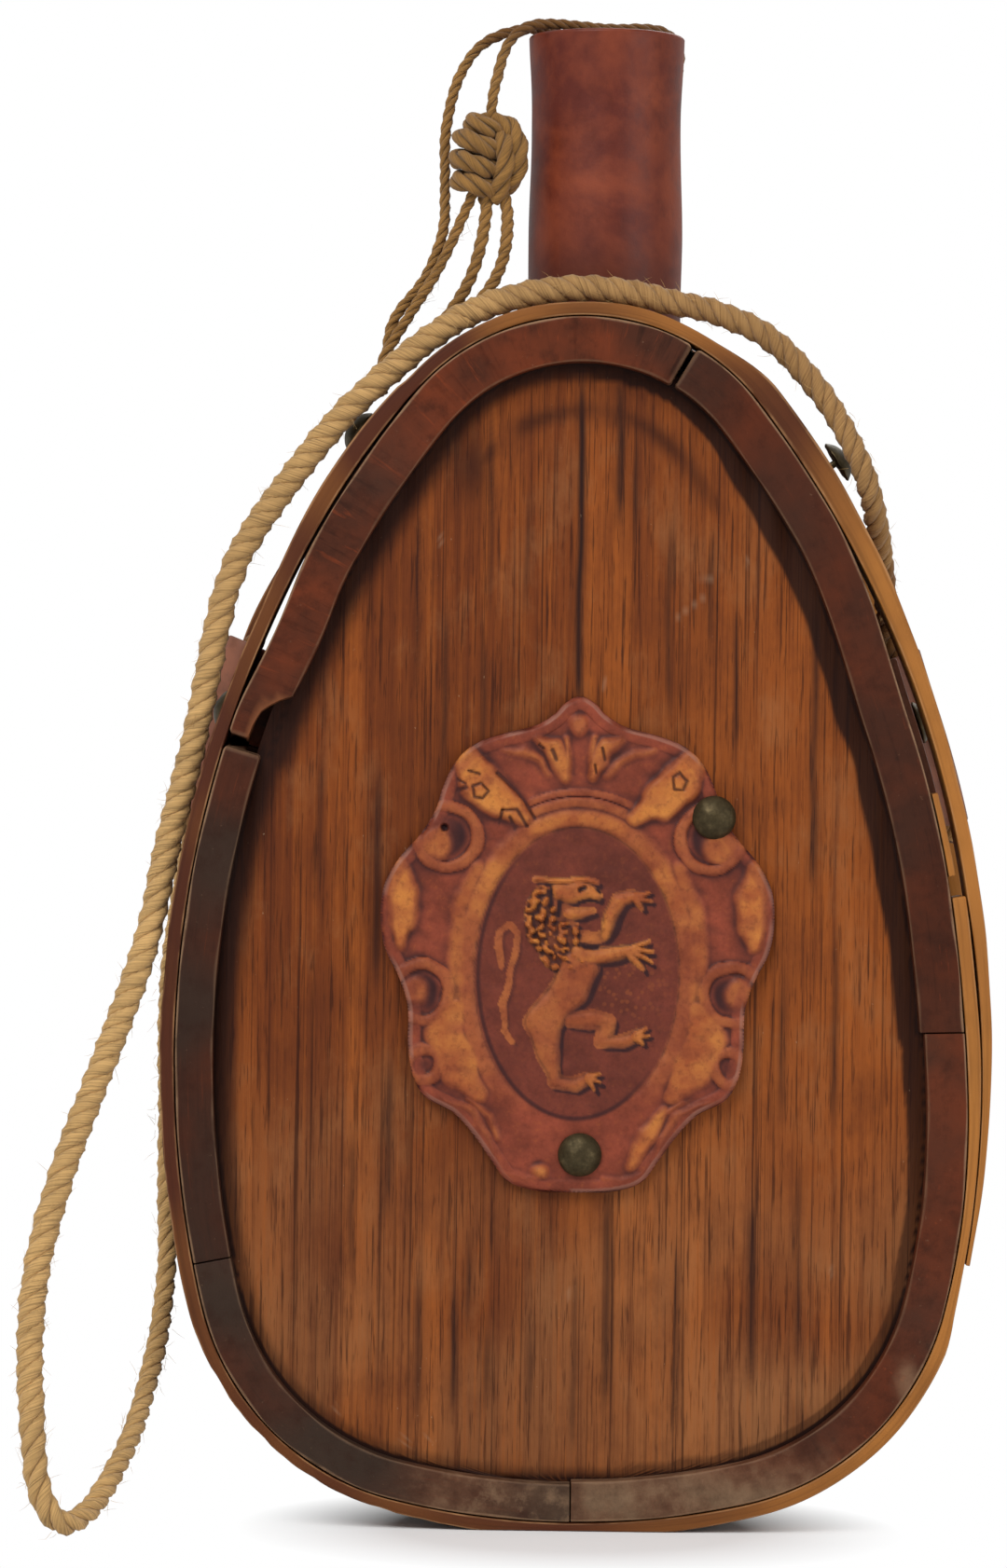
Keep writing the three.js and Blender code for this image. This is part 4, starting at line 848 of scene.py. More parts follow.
def tack_finish(colours):
    """Antique brass, brown in its hollows and rubbed brighter in patches."""
    finish = Finish("tack_brass", 0.45, 0.3, Metallic=0.8)
    patina = finish.noise(finish.place(), (330, 330, 330), 5, 0.7)
    dark, dull = dimmed(colours.tack, 0.4), dimmed(colours.tack, 0.6)
    tone = finish.ramp(patina, (0.34, dark), (0.52, dull), (0.7, colours.tack))
    finish.set("Base Color", tone)
    finish.set("Roughness", finish.levels(patina, 0.35, 0.7, 0.58, 0.38))
    finish.bump(patina, 0.00025, 0.4)
    return finish.material


def fibre_finish(name, colour, fine):
    """Laid plant fibre: fine pale and dark hairs along each strand, painted shade between the strands, and
    painted browning and shade in places.
    """
    finish = Finish(name, 0.82, 0.2, Sheen_Weight=0.15)
    hairs = finish.noise(finish.painted_vector("fibre"), (fine, fine, fine / 26), 4, 0.65)
    cloud = finish.noise(finish.place(), (60, 60, 60), 3, 0.6)
    pale = tuple(min(1.0, 1.4 * c) for c in colour)
    browned_and_shaded = tuple(share * c for share, c in zip((0.3, 0.17, 0.08), colour))
    tone = finish.ramp(hairs, (0.3, dimmed(colour, 0.3)), (0.48, colour), (0.68, pale))
    tone = finish.over(tone, dimmed(colour, 0.55), cloud, 0.4, 0.7, 0.35)
    # Painted shade in the grooves between the strands, then painted browning and shade.
    tone = finish.painted_over(tone, core=dimmed(colour, 0.2), soil=browned_and_shaded)
    finish.set("Base Color", tone)
    finish.bump(hairs, 0.0003, 0.8)
    return finish.material


def white_floor():
    """A pale floor that keeps the shadow near the canteen and is plain white to the camera further off."""
    finish = Finish("floor", 0.9, 0.1)
    finish.set("Base Color", (0.86, 0.86, 0.86))
    light_path = finish.node("ShaderNodeLightPath").outputs
    seen = finish.calc("MAXIMUM", light_path["Is Camera Ray"], light_path["Is Glossy Ray"])
    seen = finish.calc("MAXIMUM", seen, light_path["Is Transmission Ray"])
    shrunk = finish.node("ShaderNodeMapping", {
        "Vector": finish.place(), "Location": (0.0, 0.4, 0.0), "Scale": (13.5, 13.0, 1.0),
    }).outputs["Vector"]
    distance = finish.node("ShaderNodeVectorMath", {0: shrunk}, operation="LENGTH").outputs["Value"]
    share = finish.calc("MULTIPLY", seen, finish.levels(distance, 0.55, 1.05))
    white = finish.node("ShaderNodeEmission", {"Color": (1.0, 1.0, 1.0), "Strength": 1.0}).outputs["Emission"]
    both = finish.node("ShaderNodeMixShader", {0: share, 1: finish.shader.outputs["BSDF"], 2: white})
    finish.tree.links.new(both.outputs["Shader"], finish.tree.nodes["Material Output"].inputs["Surface"])
    return finish.material


def centripetal(points, spacing):
    """Evenly spaced points on a centripetal Catmull-Rom curve through given points in millimetres."""
    given = np.asarray(points, dtype=float) * MM
    first = 2 * given[0] - given[1]
    last = 2 * given[-1] - given[-2]
    padded = np.concatenate([[first], given, [last]])
    knots = np.concatenate([[0.0], np.cumsum(np.sqrt(np.linalg.norm(np.diff(padded, axis=0), axis=1)))])
    fine = []
    for i in range(1, len(padded) - 2):
        p0, p1, p2, p3 = padded[i - 1:i + 3]
        t0, t1, t2, t3 = knots[i - 1:i + 3]
        t = np.linspace(t1, t2, 40, endpoint=i == len(padded) - 3)[:, None]
        a1 = (t1 - t) / (t1 - t0) * p0 + (t - t0) / (t1 - t0) * p1
        a2 = (t2 - t) / (t2 - t1) * p1 + (t - t1) / (t2 - t1) * p2
        a3 = (t3 - t) / (t3 - t2) * p2 + (t - t2) / (t3 - t2) * p3
        b1 = (t2 - t) / (t2 - t0) * a1 + (t - t0) / (t2 - t0) * a2
        b2 = (t3 - t) / (t3 - t1) * a2 + (t - t1) / (t3 - t1) * a3
        fine.append((t2 - t) / (t2 - t1) * b1 + (t - t1) / (t2 - t1) * b2)
    return even(np.concatenate(fine), spacing)


def even(path, spacing):
    """The same path with its points evenly spaced."""
    lengths = np.concatenate([[0.0], np.cumsum(np.linalg.norm(np.diff(path, axis=0), axis=1))])
    marks = np.linspace(0, lengths[-1], max(8, round(lengths[-1] / spacing)))
    return np.stack([np.interp(marks, lengths, path[:, i]) for i in range(3)], axis=-1)


def path_frames(path):
    """Unit tangents and two steady cross directions along a path."""
    tangents = np.gradient(path, axis=0)
    tangents /= np.linalg.norm(tangents, axis=1, keepdims=True)
    side = np.cross(tangents[0], (0.0, 1.0, 0.0))
    sides = []
    for tangent in tangents:
        side = side - tangent * (side @ tangent)
        side = side / np.linalg.norm(side)
        sides.append(side)
    sides = np.array(sides)
    return tangents, sides, np.cross(tangents, sides)


def laid_cord(name, path, diameter, lay, finish, sides, seed, slimming=None, soiled_and_shaded=0.0):
    """Strands laid round a path in one mesh, each a closed tube with twisted yarns, with painted browning and
    shade in places.
    """
    _, across, up = path_frames(path)
    steps = np.linalg.norm(np.diff(path, axis=0), axis=1)
    marks = np.concatenate([[0.0], np.cumsum(steps)])
    size = np.ones(len(path)) if slimming is None else slimming(marks / marks[-1])
    strand = diameter / 2 * STRAND_SHARE
    helix = diameter / 2 - strand
    around = np.linspace(0, WHOLE, sides, endpoint=False)
    points, faces, fibres, groove_shades = [], [], [], []
    turn = WHOLE * marks / lay + 0.35 * ripple(marks[:, None], 6 * lay, seed)
    for k in range(STRANDS):
        phase = turn + WHOLE * k / STRANDS
        outward = np.cos(phase)[:, None] * across + np.sin(phase)[:, None] * up
        centre = path + (helix * size)[:, None] * outward
        course = np.gradient(centre, axis=0)
        course /= np.linalg.norm(course, axis=1, keepdims=True)
        beside = np.cross(course, outward)
        swell = size * (1 + 0.05 * ripple(marks[:, None], 2.4 * lay, seed + 7 + k))
        ridged = 1 + 0.05 * np.cos(6 * around)
        ring = (
            np.cos(around)[None, :, None] * outward[:, None, :]
            + 1.12 * np.sin(around)[None, :, None] * beside[:, None, :]
        )
        rings = centre[:, None, :] + strand * swell[:, None, None] * ridged[None, :, None] * ring
        start = len(points) * len(path) * sides
        faces += grid_faces(len(path), sides, wrap_columns=True, start=start)
        faces.append(list(range(start, start + sides)))
        faces.append(list(range(start + (len(path) - 1) * sides, start + len(path) * sides)))
        yarn = around[None, :] - 0.8 * WHOLE * marks[:, None] / lay
        fibres.append(np.stack([
            strand * np.cos(yarn), strand * np.sin(yarn), marks[:, None] + 0 * yarn + 0.37 * k,
        ], axis=-1).reshape(-1, 3))
        # Painted shade on each strand's inner side, in the grooves between the strands.
        groove_shades.append(np.broadcast_to(smoothstep(-np.cos(around), -0.25, 0.75), (len(path), sides)).ravel())
        points.append(rings.reshape(-1, 3))
    piece = new_piece(name, np.concatenate(points), faces, finish, crease=80.0)
    paint(piece, "fibre", np.concatenate(fibres))
    paint(piece, "core", np.concatenate(groove_shades))
    # Painted browning and shade along the cord.
    soil = np.broadcast_to(soiled_and_shaded, len(path))
    paint(piece, "soil", np.tile(np.repeat(soil, sides), STRANDS))
    return piece


def fuzz(name, path, radius, count, reach, finish, seed):
    """Loose fibres standing off a cord: thin tapered hairs, each a closed three-sided sliver."""
    draw = np.random.default_rng(seed)
    tangents, across, up = path_frames(path)
    points, faces = [], []
    corners = np.linspace(0, WHOLE, 3, endpoint=False)
    for _ in range(count):
        at = draw.integers(4, len(path) - 4)
        phase = draw.uniform(0, WHOLE)
        outward = math.cos(phase) * across[at] + math.sin(phase) * up[at]
        heading = tangents[at] * draw.choice((-1, 1)) + 0.55 * outward * draw.uniform(0.3, 1.6)
        heading += 0.5 * draw.normal(size=3)
        heading /= np.linalg.norm(heading)
        bend = draw.normal(size=3) * 0.35
        size = reach * draw.uniform(0.35, 1.0)
        root = path[at] + 0.9 * radius * outward
        side = np.cross(heading, outward)
        side /= np.linalg.norm(side)
        over = np.cross(heading, side)
        start = len(points)
        for share, thick in ((0.0, 1.0), (0.5, 0.8), (1.0, 0.25)):
            middle = root + size * (share * heading + share * share * bend * 0.5)
            middle = np.array([middle[0], middle[1], max(middle[2], 2 * FUZZ_RADIUS)])
            for corner in corners:
                spoke = math.cos(corner) * side + math.sin(corner) * over
                points.append(middle + FUZZ_RADIUS * thick * spoke)
        faces += grid_faces(3, 3, wrap_columns=True, start=start)
        faces.append([start, start + 1, start + 2])
        faces.append([start + 6, start + 7, start + 8])
    return new_piece(name, points, faces, finish)


def chain_distance(x, z, chain):
    """Distance outside a chain of round-ended links of changing radius, given in the same units."""
    nearest = np.full(x.shape, np.inf)
    for (x0, z0, r0), (x1, z1, r1) in zip(chain, chain[1:]):
        run_x, run_z = x1 - x0, z1 - z0
        share = np.clip(((x - x0) * run_x + (z - z0) * run_z) / (run_x ** 2 + run_z ** 2), 0.0, 1.0)
        gap = np.hypot(x - x0 - share * run_x, z - z0 - share * run_z)
        nearest = np.minimum(nearest, gap - (r0 + share * (r1 - r0)))
    return nearest


def swelling(distance, width):
    """A rounded rise from 0 at an outline to 1 at a width inside it."""
    inside = np.clip(-distance / width, 0.0, 1.0)
    return np.sqrt(np.maximum(1 - (1 - inside) ** 2, 0.0))


def crest_outline():
    """Half widths of the crest by height, in millimetres, on a smooth curve through its outline's points."""
    given = np.array([CREST_HALF[1], *CREST_HALF, CREST_HALF[-2]], dtype=float)
    given[0, 0] *= -1
    given[-1, 0] *= -1
    smooth = []
    for i in range(1, len(given) - 2):
        p0, p1, p2, p3 = given[i - 1:i + 3]
        t = np.linspace(0, 1, 10, endpoint=i == len(given) - 3)[:, None]
        smooth.append(0.5 * (
            2 * p1 + (p2 - p0) * t + (2 * p0 - 5 * p1 + 4 * p2 - p3) * t ** 2
            + (3 * p1 - p0 - 3 * p2 + p3) * t ** 3
        ))
    return np.concatenate(smooth)


def lion_relief(x, z):
    """The lion's height over the oval field, in millimetres, and its shares of tan and of dark antiquing."""
    height = np.zeros(x.shape)
    tan = np.zeros(x.shape)
    features = [(rise, 2.4, share, chain) for rise, share, chain in LION_BODY]
    features.append((0.5, 0.9, 0.4, LION_TAIL))
    for (root_x, root_z), tips in LION_CLAWS:
        features += [(1.3, 1.0, 0.9, ((root_x, root_z, 1.4), (*tip, 0.55))) for tip in tips]
    for rise, width, share, chain in features:
        lifted = rise * swelling(chain_distance(x, z, chain), width)
        tan = np.where(lifted > height, share, tan)
        height = np.maximum(height, lifted)
    tufts = np.clip(0.75 + 0.3 * ripple(np.stack([x, z], axis=-1), 2.6, 206), 0.35, 1.1)
    for chain in LION_LOCKS:
        lifted = 1.7 * tufts * swelling(chain_distance(x, z, chain), 1.3)
        tan = np.where(lifted > height, np.clip(tufts, 0, 1), tan)
        height = np.maximum(height, lifted)
    dark = np.zeros(x.shape)
    for chain in LION_HOLLOWS:
        hollow = smoothstep(chain_distance(x, z, chain), 0.5, 0.0) * (height > 0)
        height -= 0.7 * hollow
        dark = np.maximum(dark, hollow)
    return height, tan, dark


def crest_field(x, z, oval):
    """The sunk oval with the lion: its height, and its shares of tan and of dark antiquing, with a painted
    shadow that the lion casts.
    """
    height, tan, dark = lion_relief(x, z)
    # A painted shadow that the lion casts down and to the right onto the field.
    shadow_caster = lion_relief(x - 0.9, z + 0.9)[0]
    edge_left = smoothstep(x + 0.6 * z, 16, -12)
    line = swelling(np.abs(oval + 0.7) - 0.8, 0.8) * (0.3 + 0.7 * edge_left)
    dark = np.maximum(dark, 0.95 * np.clip(1.6 * (shadow_caster - height) - 0.1, 0, 1))
    dark = np.maximum(dark, 0.85 * line)
    return height - 0.8 - 0.35 * line, tan, dark


def crest_relief(x, z, half_field):
    """The crest's height over its face, in millimetres, and its shares of tan and of dark antiquing with
    painted shade.
    """
    plain = np.stack([x, z], axis=-1)
    half_width, half_height = half_field
    share = np.hypot(x / half_width, z / half_height)
    slope = np.hypot(x / half_width ** 2, z / half_height ** 2) / np.maximum(share, 1e-6)
    oval = (share - 1) / np.maximum(slope, 1e-6)
    x = x + 0.2 * ripple(plain, 9, 201)
    z = z + 0.2 * ripple(plain, 9, 202)
    left = -np.abs(x)
    beside = smoothstep(z, -34, -20) * smoothstep(oval, 6.0, 3.2)
    height = 0.4 * beside * smoothstep(oval, -0.2, 1.6)
    tan = beside * (0.26 + 0.5 * np.exp(-((z - 21) / 8) ** 2))
    arch = smoothstep(z, 29, 34) * smoothstep(np.abs(x), 13.5, 10.5)
    for middle, half, rise, tint in ((2.4, 2.0, 0.5, 0.8), (6.0, 1.3, 0.4, 0.35), (8.4, 0.9, 0.3, 0.2)):
        band = arch * swelling(np.abs(oval - middle) - half, half)
        height = np.maximum(height, rise * band)
        tan = np.maximum(tan, tint * band)
    for depth, chain in SCROLL_SUNK:
        sunk = smoothstep(chain_distance(left, z, chain), 0.8, -1.6)
        height += depth * sunk
        tan *= 1 - 0.8 * sunk
    dark = np.zeros(x.shape)
    for depth, middle_x, middle_z, radius in SCROLL_HOLLOWS:
        away = np.hypot(left - middle_x, z - middle_z)
        lip = swelling(np.abs(away - radius - 1.3) - 1.5, 1.5)
        height = np.maximum(height, 0.55 * lip)
        tan = np.maximum(tan, 0.3 * lip)
        sunk = smoothstep(away - radius, 0.4, -2.2)
        height += (depth - height) * sunk
        tan *= 1 - sunk
        # Antiquing darkens the hollows, with painted shade deepest on their inner side.
        inner = smoothstep(left - middle_x, -0.5 * radius, 0.7 * radius)
        dark = np.maximum(dark, (0.4 + 0.55 * inner) * sunk)
    raised = [(rise, tint, chain_distance(left, z, chain)) for rise, tint, chain in SCROLLWORK]
    raised += [(rise, tint, chain_distance(x, z, chain)) for rise, tint, chain in SCROLL_PATCHES]
    raised += [
        (rise, tint, np.hypot(left - middle_x, z - middle_z) - radius)
        for rise, tint, middle_x, middle_z, radius in SCROLL_DISCS
    ]
    for rise, tint, distance in raised:
        lifted = smoothstep(distance, 0.5, -1.6)
        height = np.maximum(height, rise * lifted)
        tan = np.maximum(tan, tint * smoothstep(distance, 0.3, -2.0))
        dark *= 1 - lifted
    for mark in SCROLL_MARKS:
        line = smoothstep(chain_distance(x, z, [(*place, 0.16) for place in mark]), 0.4, 0.0)
        height -= 0.3 * line
        dark = np.maximum(dark, 0.8 * line)
    field, field_tan, field_dark = crest_field(x, z, oval)
    inside = smoothstep(oval, 0.4, -0.5)
    height = height * (1 - inside) + field * inside
    tan = tan * (1 - inside) + field_tan * inside
    dark = dark * (1 - inside) + np.maximum(field_dark, 0.42 * (field_tan < 0.05)) * inside
    tan *= np.clip(0.88 + 0.16 * ripple(plain, 7, 205), 0, 1)
    return height, np.clip(tan, 0, 1), np.clip(dark, 0, 1)


def punched_ground(x, z, dark, tan):
    """Where the field is punched with dots: most to the right of the lion's waist."""
    near = 0.15 + 0.85 * np.exp(-((x - 12) / 9) ** 2 - ((z + 3) / 8) ** 2)
    return near * (tan < 0.05) * (1 - dark)


def blurred(values, reach):
    """A grid averaged over a square of neighbours."""
    for axis in (0, 1):
        padded = np.pad(values, [(reach, reach) if a == axis else (0, 0) for a in (0, 1)], mode="edge")
        sums = np.cumsum(padded, axis=axis)
        sums = np.concatenate([np.zeros_like(np.take(sums, [0], axis=axis)), sums], axis=axis)
        width = 2 * reach + 1
        count = values.shape[axis]
        upper = np.take(sums, range(width, width + count), axis=axis)
        values = (upper - np.take(sums, range(count), axis=axis)) / width
    return values


class PieceOperator:
    """What the operators that make pieces share."""

    bl_options = {"REGISTER"}

    def execute(self, context):
        settings = context.scene.canteen
        self.make(settings.barrel, settings.fittings, settings.cords, settings.colours)
        return {"FINISHED"}


class CANTEEN_OT_stage(Operator):
    """Set up the camera, the soft light and the pale floor"""

    bl_idname = "canteen.stage"
    bl_label = "Stage"
    bl_options = {"REGISTER"}

    CAMERA_PLACE = (-17.7 * MM, -1436 * MM, 173.9 * MM)
    CAMERA_ROLL = -0.74
    VIEW_DISTANCE = 1400 * MM
    VIEW_HEIGHT = 365.65 * MM
    LAMPS = (
        ("key_light", (-0.75, -1.5, 1.75), 1.3, 34.0),
        ("fill_light", (1.5, -1.3, 0.7), 1.2, 9.0),
        ("rim_light", (0.5, 1.4, 1.3), 1.0, 9.0),
    )

    def execute(self, context):
        scene = context.scene
        scene.view_settings.view_transform = "Standard"
        data = bpy.data.cameras.new("camera")
        data.sensor_fit = "VERTICAL"
        data.lens = data.sensor_height * self.VIEW_DISTANCE / self.VIEW_HEIGHT
        data.clip_start = 0.01
        camera = bpy.data.objects.new("camera", data)
        camera.location = self.CAMERA_PLACE
        camera.rotation_euler = (QUARTER, math.radians(self.CAMERA_ROLL), 0.0)
        scene.collection.objects.link(camera)
        scene.camera = camera
        middle = Vector((0.0, 0.0, 0.16))
        for name, place, size, power in self.LAMPS:
            lamp = bpy.data.lights.new(name, "AREA")
            lamp.size = size
            lamp.energy = power
            holder = bpy.data.objects.new(name, lamp)
            holder.location = place
            holder.rotation_euler = (middle - Vector(place)).to_track_quat("-Z", "Y").to_euler()
            scene.collection.objects.link(holder)
        self.light_world(scene)
        reach = 6.0
        corners = [(-reach, -reach, 0), (reach, -reach, 0), (reach, reach, 0), (-reach, reach, 0)]
        floor = new_piece("floor", corners, [[0, 1, 2, 3]], white_floor())
        floor.location.z = -0.2 * MM
        return {"FINISHED"}

    def light_world(self, scene):
        """Even light from all round, plain white where the camera sees past the floor."""
        world = bpy.data.worlds.new("studio")
        scene.world = world
        world.use_nodes = True
        nodes = world.node_tree.nodes
        links = world.node_tree.links
        seen = nodes.new("ShaderNodeLightPath")
        strength = nodes.new("ShaderNodeMapRange")
        strength.inputs["To Min"].default_value = 0.5
        strength.inputs["To Max"].default_value = 1.0
        links.new(seen.outputs["Is Camera Ray"], strength.inputs["Value"])
        background = nodes["Background"]
        background.inputs["Color"].default_value = (1.0, 1.0, 1.0, 1.0)
        links.new(strength.outputs["Result"], background.inputs["Strength"])


class CANTEEN_OT_rope(PieceOperator, Operator):
    """Lay the rope sling along its route"""

    bl_idname = "canteen.rope"
    bl_label = "Rope sling"

    START_GIRTH = 0.86
    START_OVER = (0.12, 0.26)
    LOOP_GIRTH = 0.75
    LOOP_OVER = (0.62, 0.74)
    SPACING = 1.3 * MM
    FIBRES = 2600
    HAIRS = 900
    HAIR_LENGTH = 3.6 * MM

    def slimming(self, share):
        """The rope's girth along its length: less on the right shoulder and beyond the slack loop."""
        start = self.START_GIRTH + (1 - self.START_GIRTH) * smoothstep(share, *self.START_OVER)
        return start - (1 - self.LOOP_GIRTH) * smoothstep(share, *self.LOOP_OVER)

    def soil(self, path):
        """Browner on the right shoulder, and painted shade where the rope runs into the dark gap behind the
        hoop and through its keepers.
        """
        x, y, z = path.T
        browner = smoothstep(z, 150, 235) * (0.14 + 0.4 * smoothstep(x, -60, 30))
        # Painted shade where the rope runs into the dark gap behind the hoop and through the keepers.
        rubbed = 0.85 * smoothstep(np.abs(x), 60, 70) * smoothstep(y, -22, -12) * smoothstep(z, 150, 168)
        return np.maximum(browner, rubbed)

    def make(self, barrel, fittings, cords, colours):
        finish = fibre_finish("rope_sisal", colours.rope, self.FIBRES)
        path = centripetal(ROPE_POINTS, self.SPACING)
        rope = laid_cord(
            "rope", path, cords.rope_diameter, cords.rope_lay, finish, sides=14, seed=3,
            slimming=self.slimming, soiled_and_shaded=self.soil(path / MM),
        )
        settle(rope, "rope_sisal", "rope_sling")
        radius = cords.rope_diameter / 2
        hairs = fuzz("rope_hairs", path, radius, self.HAIRS, self.HAIR_LENGTH, finish, seed=5)
        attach(hairs, BODY)


class CANTEEN_OT_twine(PieceOperator, Operator):
    """Lay the twine over the stopper, with its knot, leg and tails"""

    bl_idname = "canteen.twine"
    bl_label = "Twine tie"

    STRETCH_FROM = (0.0, 0.0, 344 * MM)
    STRETCH_TO = (0.0, 0.0, 352 * MM)
    KNOT_CORD = 4.9 * MM
    KNOT_LAY = 17 * MM
    TAIL_SHARE = 1.15
    SPACING = 0.7 * MM
    FIBRES = 4200
    HAIRS = 60
    HAIR_LENGTH = 4 * MM

    def knot_path(self, size):
        """The knot's crossing turns, on a closed-up bundle of that size."""
        turns = np.array(KNOT_TURNS) * (size / KNOT_TURNS_SIZE)
        return centripetal(turns + np.array(KNOT_CENTRE), self.SPACING)

    def make(self, barrel, fittings, cords, colours):
        finish = fibre_finish("twine_jute", colours.twine, self.FIBRES)
        diameter, lay = cords.twine_diameter, cords.twine_lay
        pieces = {}
        routes = {
            "twine_tie": TWINE_TIE_POINTS, "twine_leg": TWINE_LEG_POINTS,
            "twine_tail_long": TWINE_TAIL_LONG_POINTS, "twine_tail_short": TWINE_TAIL_SHORT_POINTS,
        }
        paths = {name: centripetal(points, self.SPACING) for name, points in routes.items()}
        for seed, (name, path) in enumerate(paths.items()):
            thick = diameter * (self.TAIL_SHARE if "tail" in name else 1.0)
            # Painted shade on the twine where it crosses the top of the neck.
            soil = 0.6 * smoothstep(path[:, 2], 348 * MM, 353 * MM)
            piece = laid_cord(
                f"{name}_laid", path, thick, lay, finish, sides=10, seed=20 + seed, soiled_and_shaded=soil,
            )
            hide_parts(name)
            pieces[name] = piece
        turns = self.knot_path(cords.knot_radius)
        knot = laid_cord("twine_knot_laid", turns, self.KNOT_CORD, self.KNOT_LAY, finish, sides=10, seed=31)
        settle(knot, "twine_jute", "twine_knot")
        hairs = fuzz(
            "twine_hairs", paths["twine_leg"], diameter / 2, self.HAIRS, self.HAIR_LENGTH, finish, seed=41,
        )
        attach(hairs, BODY)
        for name in ("twine_leg", "twine_tail_long", "twine_tail_short"):
            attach(pieces[name], BODY)
        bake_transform(pieces["twine_tie"])


